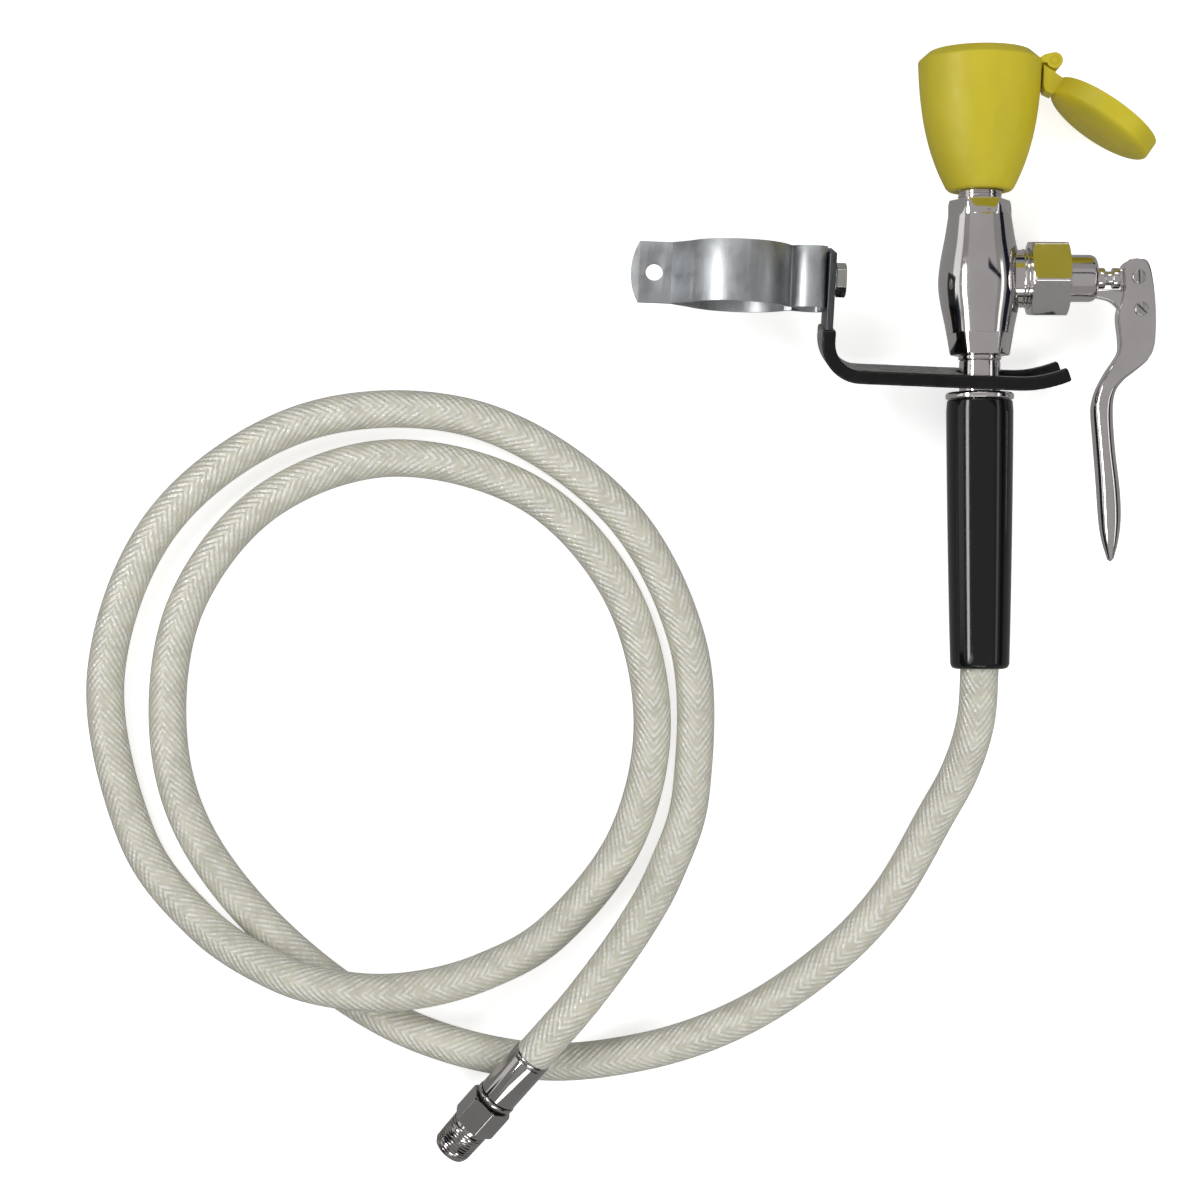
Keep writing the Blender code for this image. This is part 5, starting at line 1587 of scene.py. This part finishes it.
class DRENCH_OT_inner(Operator):
    """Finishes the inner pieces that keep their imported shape"""
    bl_idname = "drench.inner"
    bl_label = "Inner pieces"

    def execute(self, context):
        paints = looks()
        slots = {
            "spray_head": "chrome", "flow_control": "black_rubber",
            "bonnet_gasket": "black_rubber", "stem_packing": "black_rubber",
            "packing_washer": "stainless_steel", "disc_holder": "brass",
            "seat_washer": "black_rubber", "return_spring": "stainless_steel",
            "handle_tube": "stainless_steel", "swivel_seal": "black_rubber",
        }
        for node, slot in slots.items():
            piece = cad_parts[node]
            piece.data.materials.clear()
            piece.data.materials.append(paints[slot])
        return {"FINISHED"}


# Stage -----------------------------------------------------------------------

def aimed(made, place, target):
    made.location = place
    made.rotation_mode = "QUATERNION"
    made.rotation_quaternion = (Vector(target) - Vector(place)).to_track_quat("-Z", "Y")


def lamp(name, place, target, size, power, tint=(1, 1, 1)):
    light = bpy.data.lights.new(name, "AREA")
    light.shape = "RECTANGLE"
    light.size, light.size_y = size
    light.energy = power
    light.color = tint
    made = new_object(name, light)
    aimed(made, place, target)
    made.visible_glossy = False
    return made


def glow_card(name, place, target, size, tint, strength, roll=0.0):
    """A card that only reflections see, as a studio hangs round polished metal."""
    bm = bmesh.new()
    bmesh.ops.create_grid(bm, x_segments=1, y_segments=1, size=0.5)
    mesh = bpy.data.meshes.new(name)
    bm.to_mesh(mesh)
    bm.free()
    made = new_object(name, mesh)
    mesh.transform(Matrix.Rotation(roll, 4, "Z") @ Matrix.Diagonal((*size, 1, 1)))
    aimed(made, place, target)
    paint = bpy.data.materials.new(name)
    paint.use_nodes = True
    tree = Tree(paint.node_tree)
    glow = tree.add("ShaderNodeEmission")
    glow.inputs["Color"].default_value = (*tint, 1)
    glow.inputs["Strength"].default_value = strength
    output = paint.node_tree.nodes["Material Output"]
    tree.link(glow.outputs["Emission"], output.inputs["Surface"])
    made.data.materials.append(paint)
    for ray in ("camera", "diffuse", "transmission", "volume_scatter", "shadow"):
        setattr(made, f"visible_{ray}", False)
    return made


class DRENCH_OT_stage(Operator):
    """Lays the pale floor and sets the studio lights and the camera"""
    bl_idname = "drench.stage"
    bl_label = "Stage"

    def execute(self, context):
        sizes = context.scene.drench_stage
        bm = bmesh.new()
        bmesh.ops.create_grid(bm, x_segments=1, y_segments=1, size=6)
        mesh = bpy.data.meshes.new("floor")
        bm.to_mesh(mesh)
        bm.free()
        floor = new_object("floor", mesh)
        floor.location.z = -0.0004
        paint, tree, shader, place = surface("floor", (0.93, 0.93, 0.93), 0.85)
        dusty = ranged(tree, noise(tree, place, 6), 0, 1)
        mix = blended(tree, dusty, (0.92, 0.92, 0.92), (0.94, 0.94, 0.94))
        tree.link(mix, shader.inputs["Base Color"])
        shader.inputs["Emission Color"].default_value = (1, 1, 1, 1)
        shader.inputs["Emission Strength"].default_value = 0.62
        mesh.materials.append(paint)
        floor.visible_diffuse = False
        floor.visible_glossy = False

        world = bpy.data.worlds.new("studio")
        world.use_nodes = True
        sky = world.node_tree.nodes["Background"]
        sky.inputs["Color"].default_value = (0.90, 0.89, 0.87, 1)
        sky.inputs["Strength"].default_value = 0.36
        context.scene.world = world

        centre = (-0.06, -0.06, 0)
        lamp("key_light", (-0.9, 0.7, 1.5), centre, (0.9, 0.5), 11.5)
        lamp("fill_light", (1.1, -0.5, 1.3), centre, (0.9, 0.6), 8)
        lamp("top_light", (0.0, -1.2, 1.6), centre, (1.4, 0.5), 6.5)
        wand = tuple(WAND)
        nut = tuple(middle("union_nut"))
        fitting = tuple(middle("inlet_adapter"))
        dark, white = (0.010, 0.012, 0.026), (1.0, 0.99, 0.98)
        glow_card("overhead", (0.0, 0.0, 1.6), (0, 0, 0), (3.0, 3.0), (0.46, 0.447, 0.443), 1)
        glow_card("left_strip", (-0.88, 0.0, 0.78), wand, (0.9, 0.20), white, 13)
        glow_card("left_wall", (-1.70, 0.3, 0.45), wand, (1.6, 0.70), white, 1)
        glow_card("right_strip", (1.00, 0.0, 0.62), wand, (0.9, 0.16), white, 1.8)
        glow_card("far_strip", (-0.12, 0.95, 0.80), wand, (1.0, 0.24), white, 5)
        glow_card("near_strip", (-0.12, -1.15, 0.80), wand, (1.0, 0.24), white, 5)
        glow_card("left_dark", (-1.40, -0.75, 0.26), wand, (1.2, 0.62), dark, 1)
        glow_card("right_dark", (1.60, 0.10, 0.30), wand, (2.0, 0.50), dark, 1)
        glow_card("far_dark", (0.0, 1.60, 0.28), wand, (2.6, 0.40), dark, 1)
        glow_card("corner_dark", (0.72, 0.30, 0.86), wand, (0.11, 0.90), dark, 1, radians(-38))
        glow_card("fitting_dark", (-0.050, -0.385, 0.12), fitting, (0.16, 0.15), dark, 1)
        glow_card("fitting_shade", (-0.250, -0.205, 0.10), fitting, (0.16, 0.12), dark, 1)
        glow_card("fitting_glint", (-0.240, -0.215, 0.30), fitting, (0.20, 0.05), white, 3)
        lid_tint = (0.42, 0.36, 0.03)
        glow_card("warm_card", (0.070, 0.135, 0.125), nut, (0.07, 0.05), lid_tint, 1)

        camera = bpy.data.cameras.new("camera")
        camera.sensor_width = 36
        reach = sizes.camera_height - sizes.wand_height
        camera.angle = 2 * atan(sizes.frame_width / 2 / reach)
        made = new_object("camera", camera)
        made.location = (sizes.camera_x, sizes.camera_y, sizes.camera_height)
        context.scene.camera = made
        context.scene.view_settings.view_transform = "Standard"
        return {"FINISHED"}


# Panel and run ---------------------------------------------------------------

STEPS = (
    DRENCH_OT_stage, DRENCH_OT_hose, DRENCH_OT_cup, DRENCH_OT_spray_head, DRENCH_OT_valve,
    DRENCH_OT_lever, DRENCH_OT_grip, DRENCH_OT_hook, DRENCH_OT_inner,
)


class DRENCH_PT_panel(Panel):
    """Lists the drench hose's pieces in the sidebar"""
    bl_idname = "DRENCH_PT_panel"
    bl_label = "Drench hose"
    bl_space_type = "VIEW_3D"
    bl_region_type = "UI"
    bl_category = "Drench hose"

    def draw(self, context):
        for step in STEPS:
            self.layout.operator(step.bl_idname)
        for name, group in GROUPS.items():
            box = self.layout.box()
            sizes = getattr(context.scene, name)
            for key in group.__annotations__:
                box.prop(sizes, key)


GROUPS = {
    "drench_cup": CupSizes, "drench_valve": ValveSizes, "drench_lever": LeverSizes,
    "drench_hose": HoseSizes, "drench_hook": HookSizes, "drench_finishes": Finishes,
    "drench_stage": StageSizes,
}


def register():
    for item in (*GROUPS.values(), *STEPS, DRENCH_PT_panel):
        bpy.utils.register_class(item)
    for name, group in GROUPS.items():
        setattr(bpy.types.Scene, name, PointerProperty(type=group))


def unregister():
    for name in GROUPS:
        delattr(bpy.types.Scene, name)
    for item in (DRENCH_PT_panel, *STEPS[::-1], *reversed(GROUPS.values())):
        bpy.utils.unregister_class(item)


def main():
    register()
    bpy.ops.drench.stage()
    bpy.ops.drench.hose()
    bpy.ops.drench.cup()
    bpy.ops.drench.spray_head()
    bpy.ops.drench.valve()
    bpy.ops.drench.lever()
    bpy.ops.drench.grip()
    bpy.ops.drench.hook()
    bpy.ops.drench.inner()


if __name__ == "__main__":
    main()
